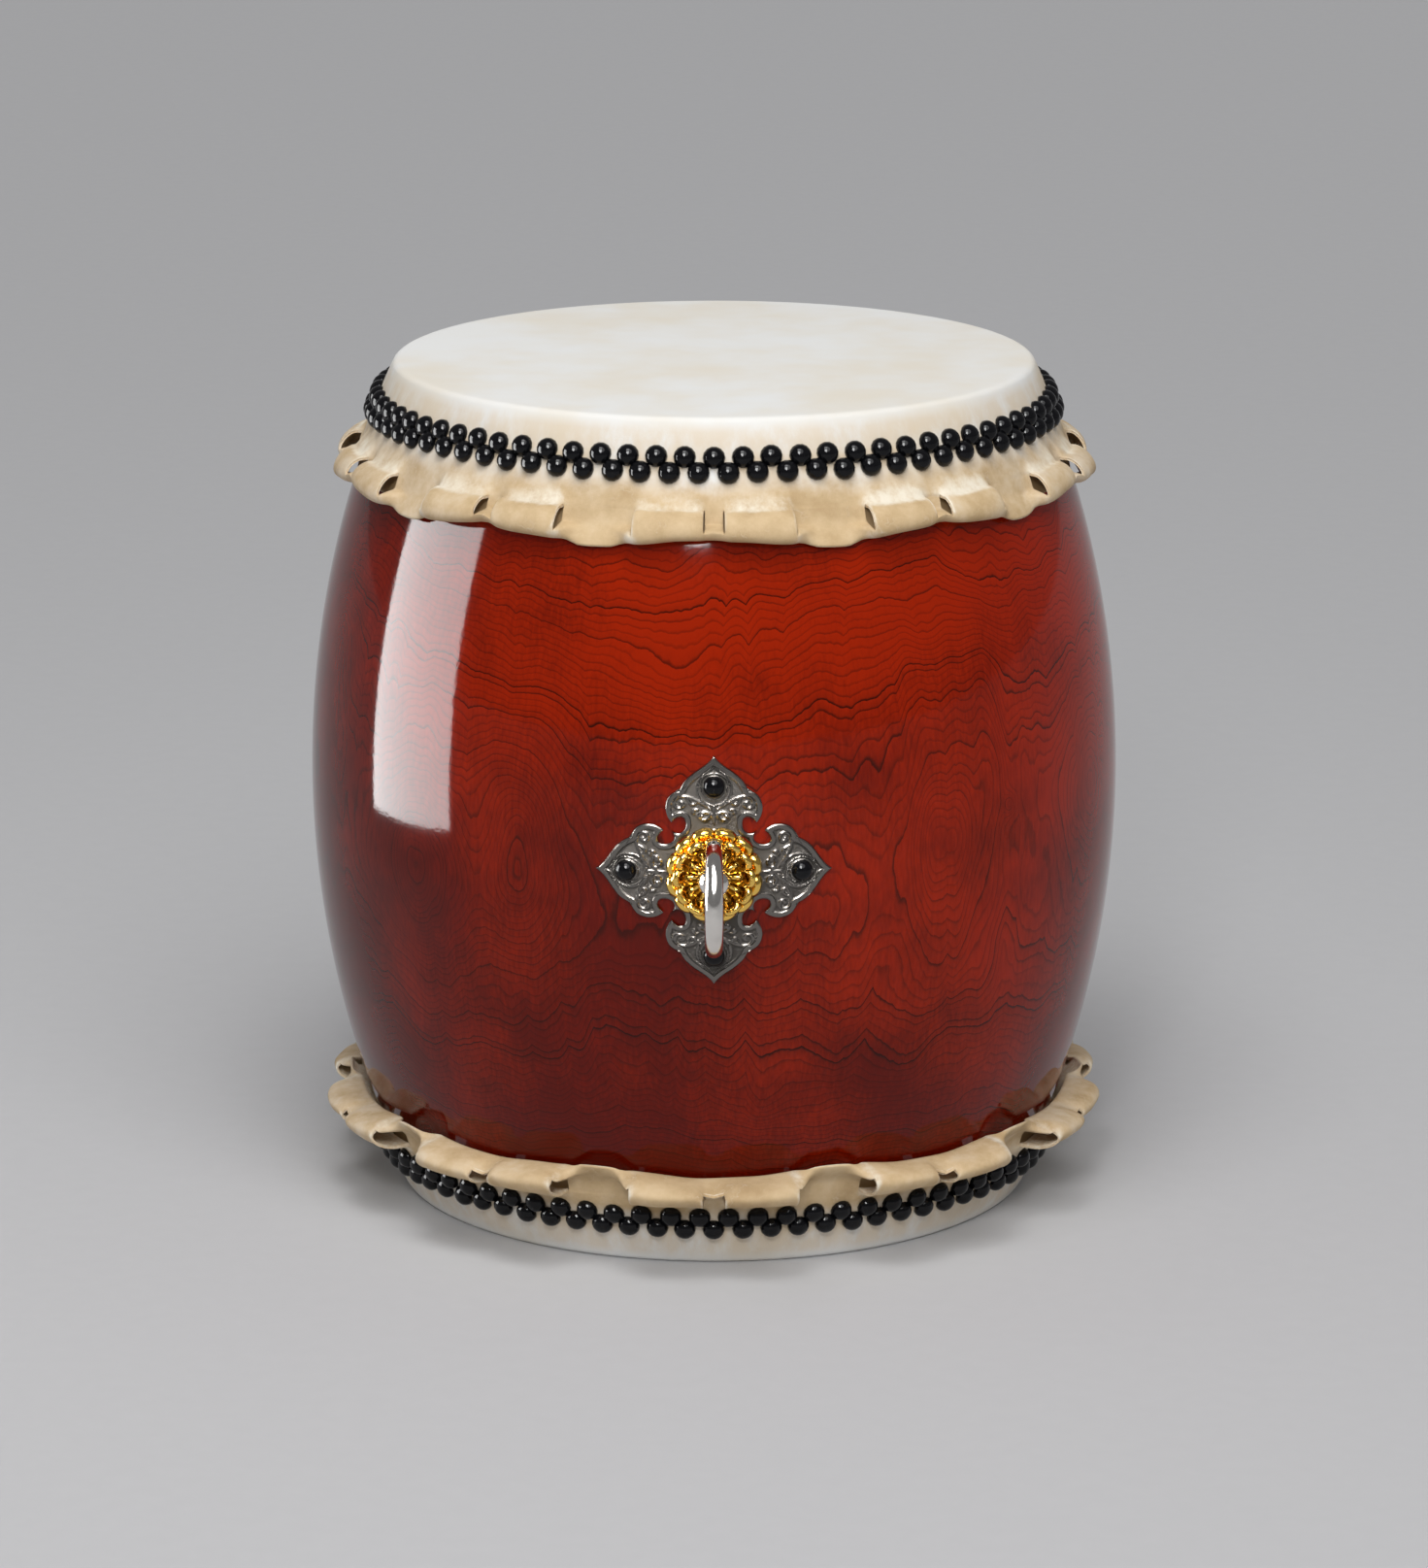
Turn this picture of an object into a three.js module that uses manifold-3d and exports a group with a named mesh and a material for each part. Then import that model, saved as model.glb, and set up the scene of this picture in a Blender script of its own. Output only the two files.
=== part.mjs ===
// A nagado taiko, the Japanese barrel drum, standing on end: a shell hollowed from one log, two nailed
// skins and a ring handle on the front and on the rear. Millimetres, +Z up, the front towards -Y, and the
// origin in the middle of the face that the drum stands on.

import * as THREE from "three";
import { mergeVertices } from "three/addons/utils/BufferGeometryUtils.js";
import Module from "manifold-3d";

const wasm = await Module();
wasm.setup();

// The drum as a whole

const drumHeight = 600; // from head to head, over the skins
const headDiameter = 455; // over the skin, just under the rim
const bellyDiameter = 578;
const seatGap = 0.3; // between pieces that rest on each other
const overrun = 5; // how far a cutting body runs past what it cuts

// The shell

const wallThickness = 30; // at the belly
const bearingLand = 14; // width of the flat that the skin is drawn over
const bearingEdge = 4; // rounding of the shell's outer corner under the skin
const innerChamfer = 24; // depth of the slope from the bearing land to the inner wall
const shellSides = 48;
const shellBands = 8;
const hewnSides = 24; // flats that the inside is hewn in, one of them behind each handle
const hewnShares = [0.26, 0.66]; // heights of the inner wall's bends, as shares of the half height

// The skins

const hideThickness = 3;
const rimRounding = 6; // outer radius where the skin turns over the rim
const tackBand = 49; // depth, from the head, of the stretch that is drawn tight round the shell
const slitMargin = 9; // from the end of the tight stretch to the top of the slits
const slitLength = 21; // height of the slits
const hemWidth = 4; // strip below the slits
const hemRise = 4; // how much higher the hem is drawn at an ear than between two ears
const slitGap = 1.2; // how far a slit gapes
const rollShares = [[0.12, 1], [1.2, 1.75]]; // a roll's curve: shares of slit height and roll depth
const rollRowShares = [0.33, 0.66]; // where the hide's rows cross it; the slits end at the last
const flatRowShares = [0.35, 0.8]; // and how far down they cross the flat parts
const flareShare = 0.35; // how far the flat parts' lower edge stands out, as a share of a roll's reach
const flareTurn = 8; // how far from a roll that edge has come in
const earCount = 10;
const earSpan = 106; // width of an ear round the shell, with both rolls
const slotWidth = 13; // width of the strip between the two rolls of an ear
const upperRollDepth = 15; // how far a roll stands out from the hide beside it
const lowerRollDepth = 21;

// The tacks

const tackDiameter = 15;
const tackHeight = 7.5;
const tackLap = 0.5; // how far each head is pressed into its neighbours in the other row
const tackPitchShare = 1.32; // pitch of a row, as a share of a head's diameter
const tackDrop = 25; // depth of the outer row from the head
const tackCorners = 3; // corners of a head's outline apart from the four where it meets its neighbours

// The cross plate under each handle

const plateReach = 80; // from the middle to the tip of an arm
const plateThickness = 2.5;
const plateFolds = 60; // flats that the plate would have if it ran right round the drum
const plateBands = 5;
const nailInset = 21; // from the tip of each arm to its nail
const nailDiameter = 14.7;
const nailHeight = 6;
const nailShank = 4;
const nailLength = 24;
const nailTip = 4;
const nailSides = 8;
const domeShares = [0.7, 0.75]; // a point of the nail's dome: shares of its radius and height

// The two rosettes on each plate

const petalCount = 12;
const petalSteps = 4; // columns of each petal
const outerPetalTurn = 0.5; // by how much of a petal the outer tier is turned against the inner one
const outerRosetteDiameter = 66.7;
const outerRosetteHeight = 11;
const outerPetalShares = [[0.86, 0, 0.05], [1, 0.4, 0.07], [0.84, 1, 0.04], [0.72, 0.82, 0]];
const innerRosetteDiameter = 56.7;
const innerRosetteHeight = 10.1;
const innerPetalShares = [[0.72, 0, 0.03], [1, 0.72, 0.08], [0.85, 1, 0.04], [0.42, 0.5, 0]];
// Each row of petal shares: radius and petal depth as shares of the tier's radius, height of its height.
// The last row is a flat: the outer tier's carries the inner tier, and the inner tier's carries the eye.

// The eye, its stem through the wall and the washer inside

const eyeDiameter = 22;
const eyeSegments = 14;
const neckDiameter = 13;
const legThickness = 4;
const legWidth = 9;
const legReach = 42; // from the stem's axis to the tip of each bent leg
const washerDiameter = 44;
const washerThickness = 3;
const washerSides = 16;
const stemSides = 12;

// The ring

const ringDiameter = 79; // over all
const ringThin = 9.7; // width of the bar in the eye
const ringThick = 12.7; // width of the bar opposite the eye
const ringDroop = THREE.MathUtils.degToRad(4); // how far the ring hangs below level
const ringClearance = 0.5; // between the bar and the hole in the eye, all round
const ringSteps = 24;
const ringSides = 8;

// Places worked out from those sizes

const midHeight = drumHeight / 2;
const shellHalf = midHeight - hideThickness - seatGap;
const shellEndRadius = headDiameter / 2 - hideThickness - seatGap;
const bellyRadius = bellyDiameter / 2;
const shellBulge = bellyRadius - shellEndRadius;
const barrelArc = (shellHalf ** 2 + shellBulge ** 2) / (2 * shellBulge);
const slitDrop = tackBand + slitMargin;
const boreRadius = neckDiameter / 2 + seatGap;
const nailReach = plateReach - nailInset;

// The plate's back clears the wood between its folds, and what stands on its front clears the folds.
const plateBand = (2 * (plateReach + overrun)) / plateBands;
const plateLift = seatGap + plateBand ** 2 / (8 * barrelArc);
const plateFoldShare = 1 / Math.cos(Math.PI / plateFolds); // radius at a fold, as a share of that at a flat
const plateFront = (bellyRadius + plateLift + plateThickness) * plateFoldShare - bellyRadius;
const nailLift = plateFront + seatGap;

// The plate, the two rosettes and the eye stand on each other.
const rosetteSeat = outerRosetteHeight * outerPetalShares.at(-1)[1];
const dishFloor = innerRosetteHeight * innerPetalShares.at(-1)[1];
const outerRosetteFoot = plateLift + plateThickness + seatGap;
const innerRosetteFoot = outerRosetteFoot + rosetteSeat + seatGap;
const eyeRadius = eyeDiameter / 2;
const eyeReach = bellyRadius + innerRosetteFoot + dishFloor + seatGap + eyeRadius;

// The hole in the eye leaves room for the bar's curve and slope.
const ringCircle = (ringDiameter - (ringThin + ringThick) / 2) / 2;
const barBow = eyeRadius ** 2 / (4 * ringCircle);
const eyeHole = ringThin + 2 * (ringClearance + barBow + eyeRadius * Math.sin(ringDroop));

const looks = {
  lacqueredWood: { color: 0x9c2008, roughness: 0.18, metalness: 0 },
  hide: { color: 0xe6d9bd, roughness: 0.6, metalness: 0 },
  blackLacquer: { color: 0x0b0b0d, roughness: 0.15, metalness: 0.3 },
  darkNickel: { color: 0x3a3734, roughness: 0.35, metalness: 1 },
  gold: { color: 0xe0a92c, roughness: 0.2, metalness: 1 },
  silver: { color: 0xc9c7c2, roughness: 0.18, metalness: 1 },
  steel: { color: 0x8b8d8f, roughness: 0.4, metalness: 1 },
};

// Radius of the shell's outside at a height: one circular arc from end to end.
function shellRadius(height) {
  return bellyRadius - barrelArc + Math.sqrt(barrelArc ** 2 - (height - midHeight) ** 2);
}

// Outward direction of the shell's side at a height, as radius and height.
function wallNormal(height) {
  const rise = (height - midHeight) / barrelArc;
  return new THREE.Vector2(Math.sqrt(1 - rise ** 2), rise);
}

// A point at a radius, an angle from the front towards +X, and a height.
function polar(radius, angle, height) {
  return new THREE.Vector3(radius * Math.sin(angle), -radius * Math.cos(angle), height);
}

// Six times the volume inside a list of triangles, negative when they face inwards.
function signedVolume(position, corners) {
  const [a, b, c] = [new THREE.Vector3(), new THREE.Vector3(), new THREE.Vector3()];
  let sum = 0;
  for (let i = 0; i < corners.length; i += 3) {
    a.fromBufferAttribute(position, corners[i]);
    b.fromBufferAttribute(position, corners[i + 1]);
    c.fromBufferAttribute(position, corners[i + 2]);
    sum += a.dot(b.cross(c));
  }
  return sum;
}

// A geometry as a solid: shared vertices merged, collapsed triangles dropped, right side out.
function solidOf(geometry) {
  const bare = new THREE.BufferGeometry();
  bare.setAttribute("position", geometry.getAttribute("position"));
  bare.setIndex(geometry.index);
  const merged = mergeVertices(bare);
  const index = merged.index.array;
  const corners = [];
  for (let i = 0; i < index.length; i += 3) {
    const [a, b, c] = [index[i], index[i + 1], index[i + 2]];
    if (a !== b && b !== c && c !== a) {
      corners.push(a, b, c);
    }
  }
  const position = merged.getAttribute("position");
  if (signedVolume(position, corners) < 0) {
    corners.reverse();
  }
  const mesh = new wasm.Mesh({
    numProp: 3,
    vertProperties: Float32Array.from(position.array),
    triVerts: Uint32Array.from(corners),
  });
  return new wasm.Manifold(mesh);
}

// A solid as a named mesh with its own material.
function piece(name, solid, look) {
  const mesh = solid.getMesh();
  const geometry = new THREE.BufferGeometry();
  geometry.setAttribute("position", new THREE.BufferAttribute(Float32Array.from(mesh.vertProperties), 3));
  geometry.setIndex(Array.from(mesh.triVerts));
  geometry.computeVertexNormals();
  const made = new THREE.Mesh(geometry, new THREE.MeshStandardMaterial({ ...look, flatShading: true }));
  made.name = name;
  return made;
}

// A solid of revolution about the drum's axis, from a profile of [radius, height] pairs.
function turned(profile, sides, start = 0) {
  const points = profile.map(([radius, height]) => new THREE.Vector2(radius, height));
  const lathe = new THREE.LatheGeometry(points, sides, start);
  lathe.rotateX(Math.PI / 2);
  return lathe;
}

// A round rod whose axis runs from one point to another.
function rod(diameter, from, to, sides) {
  const axis = to.clone().sub(from);
  const geometry = new THREE.CylinderGeometry(diameter / 2, diameter / 2, axis.length(), sides);
  const turn = new THREE.Quaternion().setFromUnitVectors(new THREE.Vector3(0, 1, 0), axis.normalize());
  geometry.applyQuaternion(turn);
  geometry.translate(...from.clone().add(to).multiplyScalar(0.5).toArray());
  return geometry;
}

// A ring-shaped surface that closes on itself both ways, through place(step, side).
function closedLoop(steps, sides, place) {
  const positions = [];
  const index = [];
  for (let step = 0; step < steps; step += 1) {
    for (let side = 0; side < sides; side += 1) {
      positions.push(...place(step, side).toArray());
      const nextStep = ((step + 1) % steps) * sides;
      const nextSide = (side + 1) % sides;
      const [a, b] = [step * sides + side, step * sides + nextSide];
      const [c, d] = [nextStep + nextSide, nextStep + side];
      index.push(a, b, c, a, c, d);
    }
  }
  const geometry = new THREE.BufferGeometry();
  geometry.setAttribute("position", new THREE.Float32BufferAttribute(positions, 3));
  geometry.setIndex(index);
  return geometry;
}

// Where a nail sits on the front of the shell: its point on the wood and the way that it faces.
function nailSeat(across, up) {
  const height = midHeight + up;
  const radius = shellRadius(height);
  const angle = Math.asin(across / radius);
  const normal = wallNormal(height);
  return {
    foot: polar(radius, angle, height),
    facing: polar(normal.x, angle, normal.y),
  };
}

const nailPlaces = [
  { side: "top", ...nailSeat(0, nailReach) },
  { side: "right", ...nailSeat(nailReach, 0) },
  { side: "bottom", ...nailSeat(0, -nailReach) },
  { side: "left", ...nailSeat(-nailReach, 0) },
];

function alongNail(place, distance) {
  return place.foot.clone().addScaledVector(place.facing, distance);
}

// The holes that one handle needs in the shell and the plate, for its nails and its stem.
function handleHoles() {
  const inside = polar(bellyRadius - wallThickness - 2 * overrun, 0, midHeight);
  const outside = polar(bellyRadius + plateThickness + 2 * overrun, 0, midHeight);
  let holes = solidOf(rod(2 * boreRadius, inside, outside, stemSides));
  for (const place of nailPlaces) {
    const deep = alongNail(place, nailLift - nailLength - seatGap);
    const high = alongNail(place, nailLift + overrun);
    holes = holes.add(solidOf(rod(nailShank + 2 * seatGap, deep, high, nailSides)));
  }
  return holes;
}

const frontHoles = handleHoles();

// The shell: a barrel with flat bearing lands, hewn out from end to end.
function shellSolid() {
  const bottom = midHeight - shellHalf;
  const top = midHeight + shellHalf;
  const outside = [[0, bottom], [shellEndRadius - bearingEdge, bottom]];
  const sideFrom = bottom + bearingEdge;
  const sideTo = top - bearingEdge;
  for (let band = 0; band <= shellBands; band += 1) {
    const height = sideFrom + ((sideTo - sideFrom) * band) / shellBands;
    outside.push([shellRadius(height), height]);
  }
  outside.push([shellEndRadius - bearingEdge, top], [0, top]);

  const mouth = shellEndRadius - bearingLand;
  const bends = [1 - innerChamfer / shellHalf, hewnShares[1], hewnShares[0]];
  const heights = bends.flatMap((share) => [-share, share]).sort((a, b) => a - b);
  const inside = [[0, bottom - overrun], [mouth, bottom - overrun], [mouth, bottom]];
  for (const share of heights) {
    const height = midHeight + share * shellHalf;
    inside.push([shellRadius(height) - wallThickness, height]);
  }
  inside.push([mouth, top], [mouth, top + overrun], [0, top + overrun]);

  const log = solidOf(turned(outside, shellSides));
  const hollow = solidOf(turned(inside, hewnSides, Math.PI / hewnSides));
  const rearHoles = frontHoles.rotate([0, 0, 180]);
  return log.subtract(hollow).subtract(frontHoles).subtract(rearHoles);
}

// Depth of the flat that the inner washer lies on, from the shell's outside.
const innerFlat = (shellRadius(midHeight + hewnShares[0] * shellHalf) - wallThickness) *
  Math.cos(Math.PI / hewnSides);

// Angles round one ear, from its middle.
const skirtRadius = shellRadius(drumHeight - slitDrop);
const earPitch = (2 * Math.PI) / earCount;
const slotAngle = slotWidth / 2 / skirtRadius;
const earAngle = earSpan / 2 / skirtRadius;
const flatAngle = earPitch / 2;
const flareAngle = earAngle + flareTurn / skirtRadius;
const widestStep = Math.max(earAngle - slotAngle, flatAngle - earAngle);

// The hide's inner side is wide enough for its flat facets to clear the shell.
const hideGap = seatGap + tackBand ** 2 / (8 * barrelArc);

// A point on the outer side of the hide where it lies on the shell.
function hidePoint(height) {
  const normal = wallNormal(height);
  const inner = (shellRadius(height) + hideGap) / Math.cos(widestStep / 2);
  return { at: new THREE.Vector2(inner + hideThickness / normal.x, height), normal };
}

// The line of the hide from the middle of the head over the rim to the top of the slits.
function headLine() {
  const lean = wallNormal(drumHeight - rimRounding);
  const turnHeight = drumHeight - rimRounding * (1 - lean.y);
  const rimCentre = hidePoint(turnHeight).at.x - rimRounding * lean.x;
  const upwards = new THREE.Vector2(0, 1);
  const half = lean.clone().add(upwards).normalize();
  const onRim = (normal) => ({
    at: new THREE.Vector2(rimCentre, drumHeight - rimRounding).addScaledVector(normal, rimRounding),
    normal,
  });
  const centre = { at: new THREE.Vector2(0, drumHeight), normal: upwards };
  return [centre, onRim(upwards), onRim(half), onRim(lean), hidePoint(drumHeight - tackBand)];
}

// The outline of a roll between the two ends of its slits: pointed above and round below.
function rollCurve(from, to, depth) {
  const down = to.clone().sub(from);
  const out = new THREE.Vector2(-down.y, down.x).normalize();
  const [shoulder, cheek] = rollShares.map(([along, outwards]) =>
    from.clone().addScaledVector(down, along).addScaledVector(out, outwards * depth));
  return new THREE.CubicBezierCurve(from, shoulder, cheek, to);
}

// One line of the hide from the middle of the head to the hem. Below the slits' ends it stands out
// by a share of the roll's reach: the whole of it beside a roll, and less on the flat parts.
function hideLine(angle, onRoll, flare, rollDepth) {
  const slitTop = hidePoint(drumHeight - slitDrop);
  const rise = (hemRise * (1 + Math.cos(angle * earCount))) / 2;
  const slitBottom = hidePoint(drumHeight - slitDrop - slitLength + rise);
  const hem = hidePoint(drumHeight - slitDrop - slitLength - hemWidth + rise);
  const curve = rollCurve(slitTop.at, slitBottom.at, rollDepth);
  const between = rollRowShares.map((share, row) => {
    const flat = hidePoint(THREE.MathUtils.lerp(slitTop.at.y, slitBottom.at.y, flatRowShares[row]));
    const standing = onRoll ? 1 : (flare * row) / (rollRowShares.length - 1);
    const tangent = curve.getTangent(share);
    const normal = new THREE.Vector2(-tangent.y, tangent.x);
    return {
      at: curve.getPoint(share).lerp(flat.at, 1 - standing),
      normal: normal.lerp(flat.normal, 1 - standing).normalize(),
    };
  });
  return [...headLine(), slitTop, ...between, slitBottom, hem];
}

// All lines of a skin in order. Each slit has two, one on each side of it.
function hideColumns(rollDepth) {
  const columns = [];
  for (let ear = 0; ear < earCount; ear += 1) {
    const middle = ear * earPitch;
    const line = (angle, onRoll, flare, gape) => {
      columns.push({ angle: middle + angle, gape, rows: hideLine(angle, onRoll, flare, rollDepth) });
    };
    line(-flatAngle, false, flareShare, 0);
    line(-flareAngle, false, flareShare, 0);
    line(-earAngle, false, 1, -1);
    line(-earAngle, true, 1, 1);
    line(-slotAngle, true, 1, -1);
    line(-slotAngle, false, 1, 1);
    line(slotAngle, false, 1, -1);
    line(slotAngle, true, 1, 1);
    line(earAngle, true, 1, -1);
    line(earAngle, false, 1, 1);
    line(flareAngle, false, flareShare, 0);
  }
  return columns;
}

// A skin: the hide as one closed sheet of even thickness, cut through at every slit.
function skinSolid(rollDepth) {
  const columns = hideColumns(rollDepth);
  const slitTopRow = headLine().length;
  const slitEndRow = slitTopRow + rollRowShares.length;
  const hemRow = slitEndRow + 2;
  const positions = [];
  const index = [];
  for (const { angle, gape, rows } of columns) {
    rows.forEach(({ at, normal }, row) => {
      const open = row > slitTopRow && row < slitEndRow;
      const turn = angle + (open ? (gape * slitGap) / 2 / at.x : 0);
      const inner = at.clone().addScaledVector(normal, -hideThickness);
      positions.push(...polar(at.x, turn, at.y).toArray());
      positions.push(...polar(Math.max(inner.x, 0), turn, inner.y).toArray());
    });
  }
  const outer = (column, row) => 2 * ((column % columns.length) * (hemRow + 1) + row);
  const inner = (column, row) => outer(column, row) + 1;
  const quad = (a, b, c, d) => index.push(a, b, c, a, c, d);
  columns.forEach(({ gape }, left) => {
    const right = left + 1;
    const atSlit = gape < 0;
    for (let row = 0; row < hemRow; row += 1) {
      const low = row + 1;
      if (atSlit && row >= slitTopRow && row < slitEndRow) {
        quad(outer(left, row), outer(left, low), inner(left, low), inner(left, row));
        quad(outer(right, low), outer(right, row), inner(right, row), inner(right, low));
      } else {
        quad(outer(left, row), outer(left, low), outer(right, low), outer(right, row));
        quad(inner(left, row), inner(right, row), inner(right, low), inner(left, low));
      }
    }
    quad(outer(right, hemRow), outer(left, hemRow), inner(left, hemRow), inner(right, hemRow));
  });
  const geometry = new THREE.BufferGeometry();
  geometry.setAttribute("position", new THREE.Float32BufferAttribute(positions, 3));
  geometry.setIndex(index);
  return solidOf(geometry);
}

// Where the heads of both rows sit, in zigzag order, and how far apart neighbours are.
function tackSeats() {
  const [rim, leave] = headLine().slice(-2).map((point) => point.at);
  const slope = leave.clone().sub(rim).normalize();
  const normal = new THREE.Vector2(-slope.y, slope.x);
  const firstRow = rim.clone().addScaledVector(slope, (drumHeight - tackDrop - rim.y) / slope.y);
  const rowLength = 2 * Math.PI * firstRow.x;
  const perRow = 2 * Math.round(rowLength / (2 * tackPitchShare * tackDiameter));
  const halfPitch = Math.PI / perRow;
  const reach = tackDiameter - tackLap;
  const across = 2 * firstRow.x * Math.sin(halfPitch / 2);
  const rowStep = Math.sqrt(reach ** 2 - across ** 2);
  return Array.from({ length: 2 * perRow }, (_, tack) => {
    const angle = tack * halfPitch;
    const at = firstRow.clone().addScaledVector(slope, (tack % 2) * rowStep);
    at.addScaledVector(normal, seatGap);
    const facing = polar(normal.x, angle, normal.y);
    const sideways = new THREE.Vector3(Math.cos(angle), Math.sin(angle), 0);
    return {
      middle: polar(at.x, angle, at.y),
      facing,
      sideways,
      upwards: facing.clone().cross(sideways),
      rowTurn: Math.atan2(rowStep, across),
      below: tack % 2 === 1,
    };
  });
}

// Both rows of tacks of one skin as a zigzag chain of domed heads. Where two neighbours are pressed
// together, they share the chord of their outlines and one point of their domes.
function tackChain() {
  const seats = tackSeats();
  const radius = tackDiameter / 2;
  const lens = Math.acos((tackDiameter - tackLap) / tackDiameter);
  const positions = [];
  const index = [];
  const add = (point) => positions.push(...point.toArray()) / 3 - 1;
  const joints = seats.map((seat, tack) => {
    const next = seats[(tack + 1) % seats.length];
    const middle = seat.middle.clone().add(next.middle).multiplyScalar(0.5);
    const facing = seat.facing.clone().add(next.facing).normalize();
    const chord = facing.clone().cross(next.middle.clone().sub(seat.middle)).normalize();
    chord.multiplyScalar(radius * Math.sin(lens));
    return {
      left: add(middle.clone().add(chord)),
      right: add(middle.clone().sub(chord)),
      top: add(middle.clone().addScaledVector(facing, tackHeight * Math.sin(lens))),
    };
  });
  seats.forEach((seat, tack) => {
    const before = joints[(tack + seats.length - 1) % seats.length];
    const after = joints[tack];
    const tip = add(seat.middle.clone().addScaledVector(seat.facing, tackHeight));
    const first = seat.below ? Math.PI - seat.rowTurn + lens : lens - seat.rowTurn;
    const sweep = Math.PI + 2 * (seat.rowTurn - lens);
    const free = Array.from({ length: tackCorners }, (_, corner) => {
      const angle = first + (sweep * (corner + 1)) / (tackCorners + 1);
      const point = seat.middle.clone().addScaledVector(seat.sideways, radius * Math.cos(angle));
      return add(point.addScaledVector(seat.upwards, radius * Math.sin(angle)));
    });
    const joined = [before.left, before.right];
    const rest = seat.below ? [...joined, ...free] : [...free, ...joined];
    const outline = [after.right, after.left, ...rest];
    outline.forEach((corner, place) => {
      const next = outline[(place + 1) % outline.length];
      if (corner === after.right) {
        index.push(corner, after.top, tip, after.top, next, tip);
      } else if (corner === before.left) {
        index.push(corner, before.top, tip, before.top, next, tip);
      } else {
        index.push(corner, next, tip);
      }
      if (place > 0 && place < outline.length - 1) {
        index.push(outline[0], next, corner);
      }
    });
  });
  const geometry = new THREE.BufferGeometry();
  geometry.setAttribute("position", new THREE.Float32BufferAttribute(positions, 3));
  geometry.setIndex(index);
  return solidOf(geometry);
}

// One arm of the cross plate from its tip to the corner between two arms, as shares of the plate's reach:
// the pointed ogee, the round lobe, its hook, and the bay that ends in the corner.
const armShares = [
  [[0, 1], [0.055, 0.895], [0.235, 0.865], [0.29, 0.7]],
  [[0.29, 0.7], [0.4, 0.69], [0.455, 0.54], [0.361, 0.43]],
  [[0.361, 0.43], [0.33, 0.475], [0.245, 0.515], [0.2375, 0.43]],
  [[0.2375, 0.43], [0.23, 0.35], [0.3, 0.3], [0.359, 0.359]],
];
const armSteps = [3, 3, 2, 2];
const armCount = 4;

// The cross plate's outline: the half arm, mirrored at the corners and turned four times.
function plateShape() {
  const half = [];
  armShares.forEach((shares, part) => {
    const ends = shares.map(([x, y]) => new THREE.Vector2(x, y).multiplyScalar(plateReach));
    half.push(...new THREE.CubicBezierCurve(...ends).getPoints(armSteps[part]).slice(0, -1));
  });
  const corner = new THREE.Vector2(...armShares.at(-1).at(-1)).multiplyScalar(plateReach);
  const mirrored = half.slice(1).reverse().map((point) => new THREE.Vector2(point.y, point.x));
  const quarter = [...half, corner, ...mirrored];
  const outline = [];
  for (let arm = 0; arm < armCount; arm += 1) {
    const turn = (-arm * 2 * Math.PI) / armCount;
    outline.push(...quarter.map((point) => point.clone().rotateAround(new THREE.Vector2(), turn)));
  }
  return new THREE.Shape(outline);
}

// The cross plate: the outline cut out of a sheet that follows the barrel.
function plateSolid() {
  const reach = bellyRadius + plateThickness + 2 * overrun;
  const stamp = new THREE.ExtrudeGeometry(plateShape(), { depth: reach, bevelEnabled: false });
  stamp.rotateX(Math.PI / 2);
  stamp.translate(0, 0, midHeight);
  const line = (lift) => Array.from({ length: plateBands + 1 }, (_, band) => {
    const height = midHeight - plateReach - overrun + band * plateBand;
    return [(shellRadius(height) + lift) * plateFoldShare, height];
  });
  const back = line(plateLift);
  const front = line(plateLift + plateThickness).reverse();
  const sheet = turned([...back, ...front, back[0]], plateFolds, Math.PI / plateFolds);
  return solidOf(stamp).intersect(solidOf(sheet)).subtract(frontHoles);
}

// One tier of petals about the stem: its rows of petal shares, closed round the bore. Every petal's
// edge is an arc, and the turn is a share of a petal.
function rosetteSolid(diameter, tall, petalShares, foot, turn) {
  const radius = diameter / 2;
  const rows = petalShares.map(([wide, high, deep]) => [radius * wide, tall * high, radius * deep]);
  rows.unshift([boreRadius, 0, 0]);
  rows.push([boreRadius, rows.at(-1)[1], 0]);
  const place = (step, side) => {
    const [reach, height, petal] = rows[side];
    const aside = 2 * Math.abs(step / petalSteps - Math.round(step / petalSteps));
    const angle = (2 * Math.PI * (step / petalSteps + turn)) / petalCount;
    const wide = reach - petal * (1 - Math.sqrt(1 - aside ** 2));
    const out = -(bellyRadius + foot + height);
    return new THREE.Vector3(wide * Math.sin(angle), out, midHeight + wide * Math.cos(angle));
  };
  return solidOf(closedLoop(petalSteps * petalCount, rows.length, place));
}

// The eye: a ball with the ring's hole down through it, a stem through the wall and two legs bent apart.
function eyeSolid() {
  const eyeMiddle = polar(eyeReach, 0, midHeight);
  const ball = new THREE.SphereGeometry(eyeRadius, eyeSegments, eyeSegments / 2);
  ball.rotateX(Math.PI / 2);
  ball.translate(...eyeMiddle.toArray());
  const bend = innerFlat - washerThickness - 2 * seatGap - legThickness / 2;
  const stem = rod(neckDiameter, polar(bend, 0, midHeight), eyeMiddle, stemSides);
  const legs = new THREE.BoxGeometry(legWidth, legThickness, 2 * legReach);
  legs.translate(...polar(bend, 0, midHeight).toArray());
  const below = polar(eyeReach, 0, midHeight - eyeDiameter);
  const above = polar(eyeReach, 0, midHeight + eyeDiameter);
  const hole = rod(eyeHole, below, above, stemSides);
  return solidOf(ball).add(solidOf(stem)).add(solidOf(legs)).subtract(solidOf(hole));
}

function washerSolid() {
  const outerFace = polar(innerFlat - seatGap, 0, midHeight);
  const innerFace = polar(innerFlat - seatGap - washerThickness, 0, midHeight);
  const beyond = polar(innerFlat + overrun, 0, midHeight);
  const within = polar(innerFlat - washerThickness - overrun, 0, midHeight);
  const disc = solidOf(rod(washerDiameter, innerFace, outerFace, washerSides));
  return disc.subtract(solidOf(rod(2 * boreRadius, within, beyond, stemSides)));
}

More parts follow.
